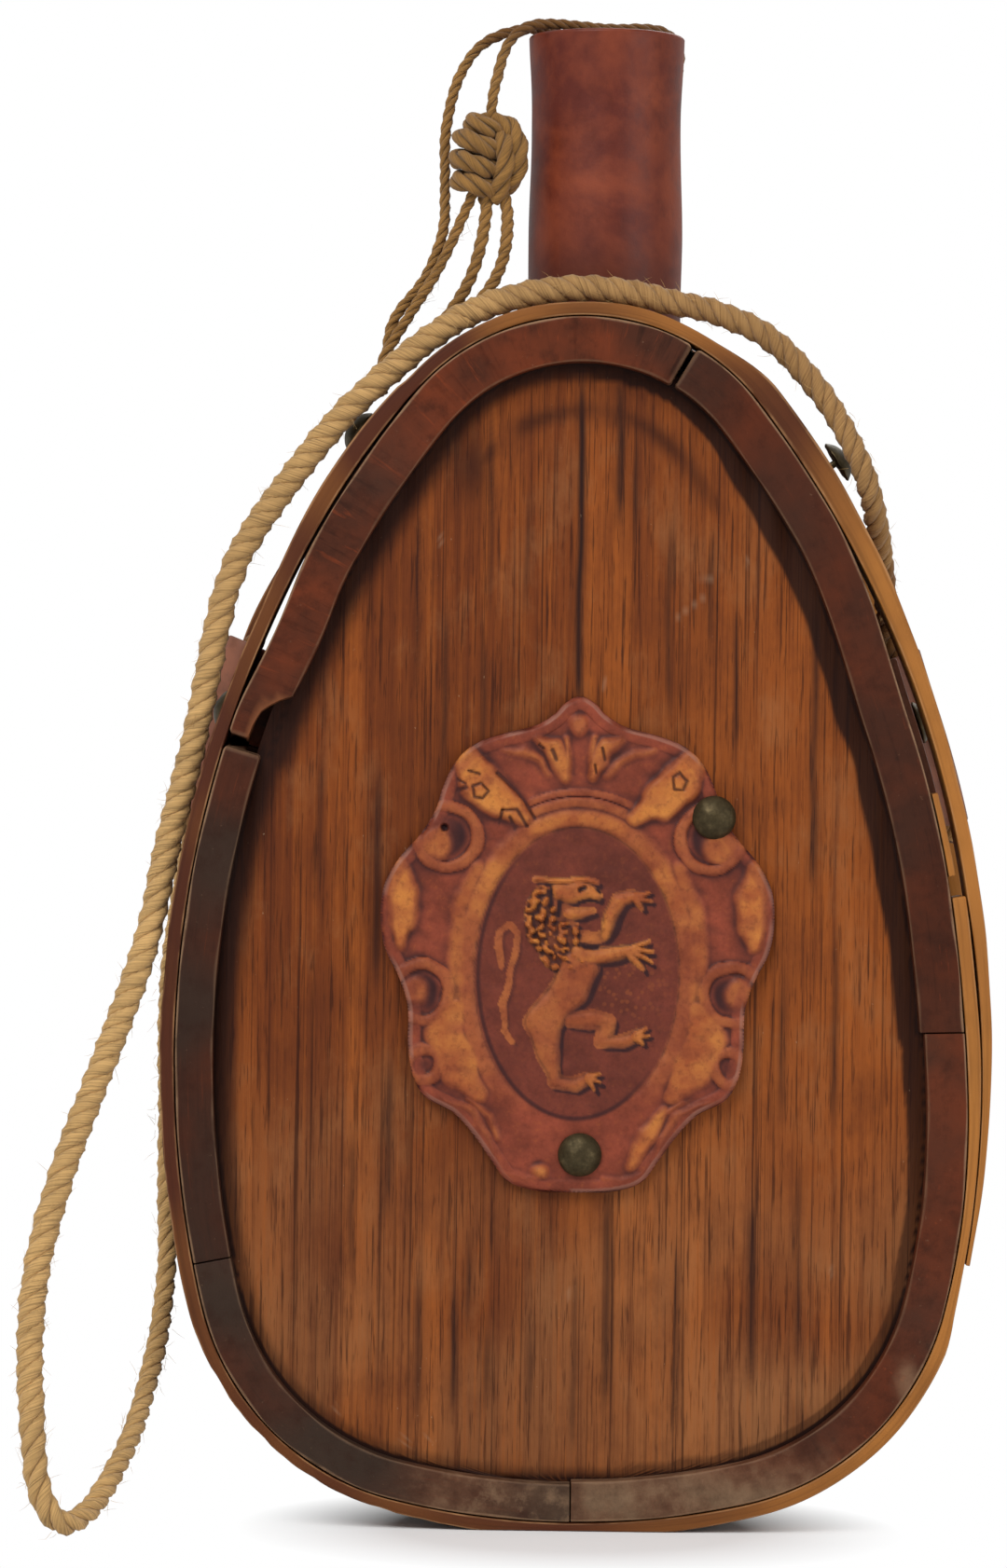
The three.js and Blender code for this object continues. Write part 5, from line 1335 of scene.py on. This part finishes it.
class CANTEEN_OT_staves(PieceOperator, Operator):
    """Bend the ring of staves, with worn edges, open joints and the broken end of the crown stave"""

    bl_idname = "canteen.staves"
    bl_label = "Staves"

    STEP = 2 * MM
    BEHIND_HOOP = 19 * MM
    OPENS_OVER = (-20 * MM, -34 * MM)
    SETS_IN_OVER = (-8 * MM, -30 * MM)
    ROUNDS_OVER = (-24 * MM, -33 * MM)
    PALE_PATCH = (78 * MM, 36 * MM)
    PATCH_STRETCH = (2.6, 5.0)
    PATCH_EDGE = (1.4 * MM, 0.3 * MM)
    SCUFFED_BELOW = (26 * MM, 6 * MM)
    SCUFFED_FROM = (-48 * MM, -18 * MM)
    SCUFFED_TO = (76 * MM, 50 * MM)
    SET_IN_AT = 156.4
    SET_IN_REACH = 5.4
    CHIP_LENGTH = 12 * MM
    CHIP_DEPTH = 6.0 * MM
    CHIP_EDGE = (
        (0.0, 1.0), (0.3, 0.97), (0.6, 0.88), (0.74, 0.72), (0.88, 0.5), (0.97, 0.36), (1.0, 0.0),
    )

    def section(self, barrel, thickness, outer, inner):
        """Sections of [depth, height], one for each pair of arris radii, and the wear of their points."""
        groove_front = HEAD_FACE + barrel.fit
        groove_back = HEAD_INSIDE - barrel.fit
        half, wear = [(-self.BEHIND_HOOP + 0 * outer, 0 * outer)], [0.0]
        turns = np.linspace(0, QUARTER, 5)
        for turn in turns:
            half.append((-HALF_DEPTH + outer * (1 - math.sin(turn)), outer * (math.cos(turn) - 1)))
            wear.append(math.sin(2 * turn) ** 2)
        for share in (0.06, 0.3, 0.6, 0.94):
            half.append((-HALF_DEPTH + 0 * outer, -outer + share * (inner + outer - thickness)))
            wear.append(0.0)
        for turn in turns:
            depth, height = 1 - math.cos(turn), 1 - math.sin(turn)
            half.append((-HALF_DEPTH + inner * depth, -thickness + inner * height))
            wear.append(0.3 * math.sin(2 * turn) ** 2)
        for depth, height in (
            (groove_front, -thickness), (groove_front, -barrel.outside_groove),
            (groove_back, -barrel.outside_groove), (groove_back, -thickness),
        ):
            half.append((-depth + 0 * outer, height + 0 * outer))
            wear.append(0.0)
        near = np.stack([np.stack(point, axis=-1) for point in half], axis=1)
        far = near[:, ::-1] * np.array([-1.0, 1.0])
        return np.concatenate([near, far], axis=1), np.array(wear + wear[::-1])

    def spread(self, barrel, section, angles, marks, joints):
        """Angles of a stave's points: each end stops short of its joint, an open one only at the front."""
        front = smoothstep(section[..., 0], *self.OPENS_OVER)
        trims = [
            OPEN_JOINTS[joint] * MM * front / 2 if joint in OPEN_JOINTS else barrel.fit / 2
            for joint in joints
        ]
        along = trims[0] + marks[:, None] * (1 - (trims[0] + trims[1]) / marks[-1])
        return np.interp(along, marks, angles)

    def make(self, barrel, fittings, cords, colours):
        outline = Barrel(barrel)
        finish = rim_finish(colours)
        for seed, (node, first, last, thick, grey, cross, shade) in enumerate(STAVES):
            thickness = thick * MM
            rounds = [
                barrel.open_round if joint in OPEN_JOINTS else barrel.tight_round
                for joint in (first, last)
            ]
            angles, marks = outline.run(math.radians(first), math.radians(last), self.STEP, *rounds)
            outer = barrel.arris * (1 + 0.2 * ripple(marks[:, None], 30 * MM, 50 + seed))
            inner = barrel.arris * (1 + 0.2 * ripple(marks[:, None], 26 * MM, 60 + seed))
            section, wear = self.section(
                barrel, thickness, np.clip(outer, 0.3 * MM, None), np.clip(inner, 0.3 * MM, None))
            at_front = smoothstep(section[..., 0], *self.SETS_IN_OVER)
            drawn = end_inset(marks, *rounds)[:, None] * smoothstep(section[..., 0], *self.ROUNDS_OVER)
            section = section - drawn[..., None] * section_normals(section)
            bare = np.zeros(section.shape[:2])
            if node == "stave_crown":
                section, bare = self.chip(section, marks[-1] - marks, thickness)
            spread = self.spread(barrel, section, angles, marks, (first, last))
            offset = outline.ring(spread)
            if node == "stave_crown":
                offset = -barrel.set_in * at_front * hump(spread, self.SET_IN_AT, self.SET_IN_REACH)
            points = outline.points(spread, offset + section[..., 1], section[..., 0])
            points[..., 1] += 0.1 * MM * ripple(points, 30 * MM, 70 + seed) * (section[..., 0] < 0)
            piece = loft(f"{node}_worn", points, finish)
            wear = np.tile(wear, (len(marks), 1))
            rim = section[..., 0] < -HEAD_FACE
            x, z = points[..., 0], points[..., 2]
            patch = (points[..., [0, 2]] - self.PALE_PATCH) / self.PATCH_STRETCH
            flaked = smoothstep(np.hypot(patch[..., 0], patch[..., 1]), *self.PATCH_EDGE)
            wear = np.maximum(wear, 0.4 * flaked * rim)
            for away, radius in ((marks, rounds[0]), (marks[-1] - marks, rounds[1])):
                near_end = np.clip(1 - away / radius, 0, 1) * (radius > barrel.arris)
                wear = np.maximum(wear, 0.45 * near_end[:, None] * rim)
            scuff = smoothstep(z, *self.SCUFFED_BELOW)
            scuff *= smoothstep(x, *self.SCUFFED_FROM) * smoothstep(x, *self.SCUFFED_TO)
            greyed = np.clip(grey + 0.25 * ripple(points, 40 * MM, 80 + seed), 0, 1) * min(1.0, 0.35 + grey)
            paint_grain(piece, marks, section)
            for name, values in (
                ("wear", wear), ("cross", np.full(wear.size, cross)), ("shade", np.full(wear.size, shade)),
                ("grey", greyed), ("scuff", scuff), ("bare", bare),
            ):
                paint(piece, name, values.ravel())
            settle(piece, "rim_wood", node)

    def chip(self, section, from_end, thickness):
        """Lifts the inside of the front rim where the crown stave's corner is broken off."""
        shares, depths = zip(*self.CHIP_EDGE)
        broken = self.CHIP_DEPTH * np.interp(from_end / self.CHIP_LENGTH, shares, depths)
        front = section[..., 0] < -HEAD_FACE
        floor = np.where(front, -thickness + broken[:, None], -np.inf)
        lifted = np.maximum(section[..., 1], np.minimum(floor, -0.2 * thickness))
        bare = smoothstep(lifted - section[..., 1], 0.05 * MM, 0.6 * MM)
        near = (from_end[:, None] < self.CHIP_LENGTH) & front & (section[..., 1] < floor + 1.2 * MM)
        section = np.stack([section[..., 0], lifted], axis=-1)
        return section, np.maximum(bare, 0.7 * near)


class CANTEEN_OT_heads(PieceOperator, Operator):
    """Make the two heads, with grain lines, a stain, a painted shadow of the rim round the margin and painted
    light on the right, on the front one
    """

    bl_idname = "canteen.heads"
    bl_label = "Heads"

    COLUMN = 0.5 * MM
    ROW = 1.5 * MM
    EDGE = 0.4 * MM
    STAIN_IN = 11.5
    STAIN_WIDTH = 2.4
    SMUDGE_AT = (-26, 248)
    SMUDGE_SIZE = (4.5, 9)

    def make(self, barrel, fittings, cords, colours):
        outline = Barrel(barrel)
        finish = panel_finish(colours)
        low = barrel.foot + barrel.outside_head + self.EDGE
        high = barrel.foot + barrel.height - barrel.outside_head - self.EDGE
        levels = np.linspace(low, high, round((high - low) / self.ROW))
        left, right = outline.sides(-barrel.outside_head, levels)
        shares = np.linspace(0, 1, round((right - left).max() / self.COLUMN))
        x = left[:, None] + (right - left)[:, None] * shares
        z = np.tile(levels[:, None], (1, len(shares)))
        rim = []
        for _, first, last, thick, *_ in STAVES:
            angles = np.radians(np.linspace(first, last, 140))
            rim.append(outline.points(angles, outline.ring(angles) - thick * MM, 0.0)[:, [0, 2]])
        rim = np.concatenate(rim)
        for node, face in (("head_front", -1), ("head_back", 1)):
            ripples = 0.12 * MM * ripple(np.stack([x, 0.06 * z], axis=-1), 9 * MM, 90 + face)
            front = np.stack([x, face * HEAD_FACE - ripples, z], axis=-1)
            piece = slab(f"{node}_board", front, face * HEAD_INSIDE, finish)
            flat = np.stack([x, z], axis=-1).reshape(-1, 2)
            margin = self.distance(flat, rim) / MM
            self.stain(piece, flat / MM, margin, face < 0, 2 * len(levels))
            settle(piece, "head_wood", node)

    def distance(self, points, line):
        nearest = np.full(len(points), np.inf)
        for place in line:
            nearest = np.minimum(nearest, ((points - place) ** 2).sum(axis=1))
        return np.sqrt(nearest)

    def stain(self, piece, flat, margin, is_front, spare):
        """Paints lines, stain, a painted shadow of the rim in the margin, scratches, paler fading and painted
        light, in millimetres; the back's corner points get none.
        """
        x, z = flat.T
        wander = 0.16 * ripple(np.stack([0.2 * x, z], axis=-1), 34, 11)
        line = np.zeros(len(x))
        scratch = np.zeros(len(x))
        if is_front:
            for at, low, high, width, strength in GRAIN_LINES:
                along = smoothstep(z, low - 6, low + 8) * smoothstep(z, high + 6, high - 8)
                line = np.maximum(line, strength * along * np.exp(-((x - at - wander) / width) ** 2))
            for (x0, z0), (x1, z1) in SCRATCHES:
                away = chain_distance(x, z, ((x0, z0, 0.1), (x1, z1, 0.1)))
                scratch = np.maximum(scratch, 0.2 * smoothstep(away, 0.6, 0.0))
        stain = np.exp(-((margin - self.STAIN_IN) / self.STAIN_WIDTH) ** 2) * smoothstep(z, 225, 255)
        stain *= np.clip(0.75 + 0.35 * ripple(flat, 18, 12), 0, 1)
        smudge = np.exp(-(((flat - self.SMUDGE_AT) / self.SMUDGE_SIZE) ** 2).sum(axis=1))
        stain = np.clip(np.maximum(0.8 * stain, 0.85 * smudge), 0, 1)
        # Painted shadow of the rim on the sunk head: crisp on the right, soft on the left, fainter and
        # narrower at the foot, narrower under the crown, with a dark line of painted shade along the gap at
        # the rim.
        wobble = 0.35 * ripple(flat, 24, 15)
        scaled = margin / (0.5 + 0.5 * smoothstep(z, 25, 140)) / (1 - 0.35 * smoothstep(z, 240, 264))
        crisp_shadow = smoothstep(scaled + wobble, 6.0, 4.9)
        soft_shadow = smoothstep(scaled, 8.2, 2.6)
        right = smoothstep(x, -16, 10)
        band = (0.5 + 0.42 * smoothstep(z, 20, 120)) * (right * crisp_shadow + (1 - right) * soft_shadow)
        edge = smoothstep(margin, 1.5, 0.7)
        shade = np.clip(np.maximum(band, edge), 0, 1)
        none = np.zeros(spare)
        # Paler towards the foot, and more so on the right, where it is painted light; lit is painted light
        # making the right side paler above the foot.
        faded = (0.4 + 0.25 * smoothstep(x, 0, 50)) * smoothstep(z, 130, 40)
        faded *= np.clip(0.8 + 0.3 * ripple(flat, 50, 14), 0, 1)
        lit = 0.55 * smoothstep(x, 0, 45) * smoothstep(z, 40, 110)
        for name, values in (
            ("line", line), ("stain", stain), ("margin", shade), ("scratch", scratch), ("faded", faded),
            ("lit", lit),
        ):
            paint(piece, name, np.concatenate([values, none]))


class CANTEEN_OT_hoops(PieceOperator, Operator):
    """Wrap the two hoops round the barrel, lapped at the right and planed at the foot"""

    bl_idname = "canteen.hoops"
    bl_label = "Hoops"

    STEP = 2 * MM
    EDGE = 0.45 * MM
    PACKING_THICKNESS = 1.5 * MM
    PACKING_LENGTH = 20 * MM
    PACKING_GAP = 5 * MM
    CHIPPED_FROM = (196, 212)
    CHIPPED_TO = (268, 250)

    def lap_thickness(self, barrel, angles):
        """Thickness of the outer lap, pared to its end; beyond it the taper makes room for the inner lap."""
        top, tip = math.radians(LAP_INNER_END), math.radians(LAP_OUTER_END)
        share = np.maximum(0, (top - angles) / (top - tip))
        return barrel.hoop_thickness + share * (barrel.lap_tip - barrel.hoop_thickness)

    def faces(self, barrel, outline, angles, bulge, bulge_at, thickened, swollen):
        """Heights of a hoop's two faces over the outline, from the outer lap round to the inner one."""
        top = barrel.fit + barrel.hoop_thickness
        stands = hump(angles, bulge_at, BULGE_REACH)
        inside = top + bulge * stands - self.lap_thickness(barrel, angles)
        outside = top + (bulge + thickened) * stands + swollen * hump(angles, SWOLLEN_AT, SWOLLEN_REACH)
        under_inside = barrel.fit + outline.ring(angles)
        room = top - self.lap_thickness(barrel, angles - WHOLE) - barrel.fit
        under_outside = np.minimum(under_inside + barrel.hoop_thickness, room)
        under = angles > 3 * QUARTER
        return np.where(under, under_inside, inside), np.where(under, under_outside, outside)

    def strip(self, name, outline, barrel, start, end, middle, faces, finish, seed):
        angles, marks = outline.run(start, end, self.STEP, self.EDGE, self.EDGE)
        half, thickness = barrel.hoop_width / 2, barrel.hoop_thickness
        section = fillet([(-half, 0), (half, 0), (half, thickness), (-half, thickness)], self.EDGE, 4)
        from_side = np.clip((half - np.abs(section[:, 0])) / self.EDGE, 0, 1)
        from_face = np.clip(np.minimum(section[:, 1], thickness - section[:, 1]) / self.EDGE, 0, 1)
        wear = np.clip(1.8 * (1 - from_side) * (1 - from_face), 0, 1)
        section = np.tile(section, (len(angles), 1, 1))
        section = section - end_inset(marks, self.EDGE, self.EDGE)[:, None, None] * section_normals(section)
        inside, outside = faces(angles)
        worn = 0.06 * MM * ripple(marks[:, None], 34 * MM, seed)
        degrees = np.degrees(angles)
        chipped = smoothstep(degrees, *self.CHIPPED_FROM) * smoothstep(degrees, *self.CHIPPED_TO)
        chips = chipped * (0.7 * MM + 0.25 * MM * np.clip(ripple(marks[:, None], 11 * MM, seed + 2), 0, 1))
        share = section[..., 1] / thickness
        height = inside[:, None] + share * (outside - inside)[:, None] + share * (worn - chips)[:, None]
        points = outline.points(angles[:, None], height, middle + section[..., 0])
        points[..., 2] = np.maximum(points[..., 2], 0.0)
        piece = loft(name, points, finish)
        x, z = points[..., 0], points[..., 2]
        ochre = smoothstep(x, 20 * MM, 74 * MM) * smoothstep(z, 262 * MM, 215 * MM)
        ochre = np.maximum(ochre, 0.5 * smoothstep(z, 266 * MM, 282 * MM) * smoothstep(x, -34 * MM, -10 * MM))
        ochre = np.maximum(ochre, smoothstep(z, 60 * MM, 25 * MM) * (0.15 + 0.3 * smoothstep(x, 0, 60 * MM)))
        ochre = np.clip(ochre + 0.1 * ripple(points, 30 * MM, seed), 0, 1)
        paint_grain(piece, marks, section)
        paint(piece, "wear", np.tile(wear, len(angles)))
        paint(piece, "ochre", ochre.ravel())
        return piece

    def make(self, barrel, fittings, cords, colours):
        outline = Barrel(barrel)
        finish = hoop_finish(colours)
        middle = HALF_DEPTH - barrel.hoop_width / 2
        start, end = math.radians(LAP_OUTER_END), math.radians(LAP_INNER_END + 360)
        for node, face, bulge, bulge_at, thickened, swollen, seed in (
            ("hoop_front", -1, barrel.bulge_front, BULGE_FRONT_AT, barrel.thickened, barrel.swollen, 100),
            ("hoop_back", 1, barrel.bulge_back, BULGE_BACK_AT, 0.0, 0.0, 110),
        ):
            piece = self.strip(
                f"{node}_strip", outline, barrel, start, end, face * middle,
                lambda angles: self.faces(barrel, outline, angles, bulge, bulge_at, thickened, swollen),
                finish, seed,
            )
            settle(piece, "hoop_wood", node)
        start = math.radians(LAP_INNER_END) + self.PACKING_GAP / barrel.side_radius
        end = start + self.PACKING_LENGTH / barrel.side_radius
        rises = (0.0, self.PACKING_THICKNESS)
        packing = self.strip(
            "hoop_packing_strip", outline, barrel, start, end, -middle,
            lambda angles: [barrel.fit + outline.ring(angles) + rise for rise in rises], finish, 120,
        )
        settle(packing, "hoop_wood", "hoop_packing")


class CANTEEN_OT_neck(PieceOperator, Operator):
    """Turn the spout and stopper, and wrap the neck in its leather sleeve"""

    bl_idname = "canteen.neck"
    bl_label = "Neck"

    SIDES = 96
    ROWS = 56
    LIP = 0.9 * MM
    SPIGOT_LENGTH = 8 * MM
    SWELL = (
        (0.2, 0.0), (0.2, 0.1), (0.85, 0.28), (0.9, 0.42), (0.4, 0.57), (0, 0.7), (0.1, 0.82), (0.8, 0.93),
        (1, 1.0),
    )
    SHADED_BELOW = (26 * MM, 5 * MM)

    def make(self, barrel, fittings, cords, colours):
        self.make_sleeve(barrel, fittings, colours)
        self.make_spout(fittings, colours)
        self.make_stopper(barrel, fittings, colours)

    def make_sleeve(self, barrel, fittings, colours):
        finish = leather_finish("neck_leather", colours.neck, colours.neck_dark, 0.42, soiled_and_shaded=True)
        inside = fittings.spout_diameter / 2 + barrel.fit
        waist = inside + fittings.sleeve_wall
        around = np.linspace(0, WHOLE, self.SIDES, endpoint=False)
        crown = barrel.foot + barrel.height
        shares = np.linspace(0, 1, self.ROWS)
        flares, places = np.array(self.SWELL).T
        flare = np.interp(shares, places, flares)
        flare = np.convolve(np.pad(flare, 4, mode="edge"), np.ones(9) / 9, mode="valid")
        outer = waist + fittings.sleeve_flare * flare
        lip = [(waist + fittings.sleeve_flare - self.LIP * (1 - math.cos(t)), self.LIP * math.sin(t))
               for t in np.linspace(0.2, QUARTER, 4)]
        radii = np.concatenate([outer, [r for r, _ in lip], [inside + 0.3 * MM, inside, inside]])
        radius = np.tile(radii[:, None], (1, self.SIDES))
        middle_x = fittings.neck_offset + radius * np.cos(around)
        centre_z = crown - barrel.crown_radius
        saddle = centre_z + np.sqrt((barrel.crown_radius + barrel.fit) ** 2 - middle_x ** 2)
        heights = np.concatenate([shares, np.ones(len(lip)), [1.0, 1.0, 0.0]])[:, None]
        top = NECK_TOP - self.LIP
        level = saddle + (top - saddle) * heights
        level[self.ROWS:self.ROWS + len(lip)] += np.array([h for _, h in lip])[:, None]
        level[-3] = NECK_TOP
        level[-2] = NECK_TOP - 0.4 * MM
        around_x, around_y = np.cos(around) + 0 * radius, np.sin(around) + 0 * radius
        skin = np.stack([around_x, around_y, level / (30 * MM)], axis=-1)
        dents = 0.16 * MM * ripple(skin, 2.6, 130) + 0.05 * MM * ripple(skin, 0.9, 131)
        seam = np.exp(-((around - QUARTER) / 0.03) ** 2)
        visible = np.concatenate([np.ones(self.ROWS + len(lip)), [1, 0, 0]])[:, None]
        radius = radius + visible * (dents - 0.5 * MM * seam)
        points = np.stack([
            fittings.neck_offset + radius * np.cos(around), radius * np.sin(around), level,
        ], axis=-1)
        faces = grid_faces(len(radii), self.SIDES, wrap_rows=True, wrap_columns=True)
        sleeve = new_piece("neck_sleeve_leather", points, faces, finish)
        # Painted shade: the leather darkens towards the foot of the neck.
        paint(sleeve, "soil", 0.7 * smoothstep(level - saddle, *self.SHADED_BELOW).ravel())
        settle(sleeve, "neck_leather", "neck_sleeve")

    def make_spout(self, fittings, colours):
        bore, outside = fittings.spout_bore / 2, fittings.spout_diameter / 2
        spigot = fittings.spout_spigot / 2
        seat = SPOUT_FOOT + self.SPIGOT_LENGTH
        profile = fillet([
            (bore, SPOUT_FOOT), (spigot, SPOUT_FOOT), (spigot, seat), (outside, seat),
            (outside, SPOUT_TOP), (bore, SPOUT_TOP),
        ], 0.8 * MM)
        points = turned(profile, 64) + np.array([fittings.neck_offset, 0.0, 0.0])
        faces = grid_faces(len(profile), 64, wrap_rows=True, wrap_columns=True)
        finish = turned_finish("spout_wood", colours.spout, 0.55)
        settle(new_piece("spout_turned", points, faces, finish), "spout_wood", "spout")

    def make_stopper(self, barrel, fittings, colours):
        plug = fittings.spout_bore / 2 - barrel.fit
        head = fittings.spout_diameter / 2 - barrel.fit
        under = SPOUT_TOP + barrel.fit
        profile = fillet([
            (0.05 * MM, STOPPER_TIP), (plug - 1.2 * MM, STOPPER_TIP), (plug, under), (head, under),
            (head, STOPPER_TOP - 0.8 * MM), (0.05 * MM, STOPPER_TOP),
        ], 0.9 * MM)
        points = turned(profile, 64)
        points += 0.12 * MM * ripple(points, 6 * MM, 140)[..., None] * np.array([0.4, 0.4, 1.0])
        points[..., 0] += fittings.neck_offset
        finish = turned_finish("stopper_cork", colours.cork, 0.8)
        settle(loft("stopper_cork", points, finish), "stopper_cork", "stopper", body=STOPPER_BODY)


class CANTEEN_OT_crest(PieceOperator, Operator):
    """Emboss the leather crest"""

    bl_idname = "canteen.crest"
    bl_label = "Crest"

    ROW = 0.36
    COLUMNS = 250
    TIP = 0.15
    EDGE_ROUND = 1.3
    HOLE = 1.15
    RELIEF = 1.6

    def make(self, barrel, fittings, cords, colours):
        edge = crest_outline()
        top, bottom = edge[0, 1], edge[-1, 1]
        levels = np.linspace(top - self.TIP, bottom + self.TIP, round((top - bottom) / self.ROW))
        half = np.maximum(np.interp(-levels, -edge[:, 1], edge[:, 0]), 0.4)
        x = half[:, None] * np.linspace(-1, 1, self.COLUMNS)
        z = np.tile(levels[:, None], (1, self.COLUMNS))
        half_field = (fittings.field_width / 2 / MM, fittings.field_height / 2 / MM)
        height, tan, dark = crest_relief(x, z, half_field)
        rim = np.concatenate([edge, edge * np.array([-1.0, 1.0])])
        near = np.full(x.shape, np.inf)
        for place_x, place_z in rim:
            near = np.minimum(near, np.hypot(x - place_x, z - place_z))
        bead = swelling(np.abs(near - 1.8) - 1.3, 1.3)
        height = np.maximum(self.RELIEF * height, 0.35 * bead) - 1.1 * (1 - swelling(-near, self.EDGE_ROUND))
        hole_x, hole_z = CREST_EMPTY_HOLE
        hole = smoothstep(np.hypot(x - hole_x, z - hole_z), self.HOLE, 0.5 * self.HOLE)
        height -= 1.3 * hole
        height += 0.05 * ripple(np.stack([x, z], axis=-1), 5.0, 150)
        # Antiquing with painted shade: darker in the hollows beside raised work.
        narrow, wide = blurred(height, 3) - height, blurred(height, 8) - height
        wash_and_shade = np.clip(1.6 * narrow + 1.1 * wide - 0.06, 0, 0.8)
        front = np.stack([x * MM, CREST_FACE - height * MM, fittings.crest_middle + z * MM], axis=-1)
        piece = slab("crest_embossed", front, CREST_BACK, crest_finish(colours))
        spare = np.zeros(2 * len(levels))
        # Painted highlight along the rounded edge, in patches (pale).
        patchy = np.clip(0.6 + ripple(np.stack([x, z], axis=-1), 14, 152), 0, 1)
        pale = 0.55 * patchy * swelling(np.abs(near - 0.7) - 0.5, 0.5)
        # The empty tack hole is painted dark for the shade inside it.
        dark = np.maximum(np.maximum(dark, wash_and_shade), hole)
        inside = np.hypot(x / half_field[0], z / half_field[1]) < 0.95
        punched = inside * punched_ground(x, z, dark, tan)
        tan *= 1 - 0.5 * bead
        for name, values in (("tan", tan), ("dark", dark), ("pale", pale), ("punched", punched)):
            paint(piece, name, np.concatenate([values.ravel(), spare]))
        settle(piece, "crest_leather", "crest")


class CANTEEN_OT_tacks(PieceOperator, Operator):
    """Drive the domed tacks"""

    bl_idname = "canteen.tacks"
    bl_label = "Tacks"

    SIDES = 40
    DOME_CUTS = 12
    LENGTH = 8.5 * MM
    LIP = 0.5 * MM

    def profile(self, fittings):
        radius, shank = fittings.tack_head / 2, fittings.tack_shank / 2
        rise = fittings.tack_dome - self.LIP
        sphere = (radius ** 2 + rise ** 2) / (2 * rise)
        profile = [
            (0.05 * MM, -self.LENGTH), (shank, -self.LENGTH + 2 * shank), (shank, 0.0), (0.92 * radius, 0.0),
            (radius, 0.5 * self.LIP),
        ]
        for turn in np.linspace(0, QUARTER, self.DOME_CUTS):
            reach = max(0.05 * MM, radius * math.cos(turn))
            profile.append((reach, self.LIP + math.sqrt(sphere ** 2 - reach ** 2) - (sphere - rise)))
        return profile

    def make(self, barrel, fittings, cords, colours):
        outline = Barrel(barrel)
        finish = tack_finish(colours)
        places = {}
        for name, (x, z) in CREST_TACKS.items():
            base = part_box(name)[0][1] + fittings.tack_dome
            place = np.array([x * MM, base, fittings.crest_middle + z * MM])
            places[name] = (place, np.array([0.0, -1.0, 0.0]))
        for name, (degrees, height, depth) in SIDE_TACKS.items():
            angle = math.radians(degrees)
            places[name] = (outline.points(angle, height * MM, depth * MM), outline.tack_axis(angle))
        for seed, (name, (place, axis)) in enumerate(places.items()):
            rings = turned(self.profile(fittings), self.SIDES)
            rings[..., 2] += 0.05 * MM * ripple(rings, 3.2 * MM, 160 + seed)
            turn = np.array(Vector((0, 0, 1)).rotation_difference(Vector(axis)).to_matrix())
            piece = loft(f"{name}_domed", rings @ turn.T + place, finish)
            settle(piece, "tack_brass", name)


class CANTEEN_OT_keepers(PieceOperator, Operator):
    """Fold the leather keepers over the rope"""

    bl_idname = "canteen.keepers"
    bl_label = "Rope keepers"

    STEP = 1.5 * MM
    ROUND = 0.8 * MM

    def section(self, barrel, fittings, cords):
        """The strap's closed section as [depth, height], with an arch over the rope."""
        half = fittings.keeper_width / 2
        low = barrel.fit
        tunnel = cords.keeper_tunnel
        arch = tunnel + fittings.keeper_thickness
        middle = low + tunnel
        top = low + fittings.keeper_thickness
        under = [(-half, low), (-tunnel - 0.6 * MM, low)]
        under += [(-tunnel * math.cos(t), middle + tunnel * math.sin(t)) for t in np.linspace(0, math.pi, 15)]
        under += [(tunnel + 0.6 * MM, low), (half, low)]
        over = [(half, top), (arch + 1.2 * MM, top)]
        over += [(arch * math.cos(t), middle + arch * math.sin(t)) for t in np.linspace(0, math.pi, 17)]
        over += [(-arch - 1.2 * MM, top), (-half, top)]
        return fillet(under + over, self.ROUND, 3)

    def make(self, barrel, fittings, cords, colours):
        outline = Barrel(barrel)
        finish = leather_finish("keeper_leather", colours.keeper, dimmed(colours.keeper, 0.6), 0.5)
        half_turn = fittings.keeper_height / 2 / barrel.side_radius
        rounds = (self.ROUND, self.ROUND)
        for node, degrees in KEEPERS.items():
            middle = math.radians(degrees)
            angles, marks = outline.run(middle - half_turn, middle + half_turn, self.STEP, *rounds)
            section = np.tile(self.section(barrel, fittings, cords), (len(angles), 1, 1))
            section = section - end_inset(marks, *rounds)[:, None, None] * section_normals(section)
            lift = outline.ring(angles)[:, None]
            points = outline.points(angles[:, None], lift + section[..., 1], section[..., 0])
            piece = loft(f"{node}_strap", points, finish)
            settle(piece, "keeper_leather", node)


class CANTEEN_PT_panel(Panel):
    """Lists the canteen's pieces and sizes"""

    bl_idname = "CANTEEN_PT_panel"
    bl_label = "Wooden canteen"
    bl_space_type = "VIEW_3D"
    bl_region_type = "UI"
    bl_category = "Canteen"

    def draw(self, context):
        layout = self.layout
        for operator in OPERATORS:
            layout.operator(operator.bl_idname)
        settings = context.scene.canteen
        for group in (settings.barrel, settings.fittings, settings.cords, settings.colours):
            box = layout.box()
            for name in group.__annotations__:
                box.prop(group, name)


OPERATORS = (
    CANTEEN_OT_stage, CANTEEN_OT_rope, CANTEEN_OT_twine, CANTEEN_OT_staves, CANTEEN_OT_heads,
    CANTEEN_OT_hoops, CANTEEN_OT_neck, CANTEEN_OT_crest, CANTEEN_OT_tacks, CANTEEN_OT_keepers,
)
CLASSES = (
    BarrelSizes, FittingSizes, CordSizes, CanteenColours, CanteenSettings, *OPERATORS, CANTEEN_PT_panel,
)


def register():
    for cls in CLASSES:
        bpy.utils.register_class(cls)
    bpy.types.Scene.canteen = PointerProperty(type=CanteenSettings)


def unregister():
    del bpy.types.Scene.canteen
    for cls in reversed(CLASSES):
        bpy.utils.unregister_class(cls)


def main():
    register()
    for operator in OPERATORS:
        getattr(bpy.ops.canteen, operator.bl_idname.split(".")[1])()


if __name__ == "__main__":
    main()
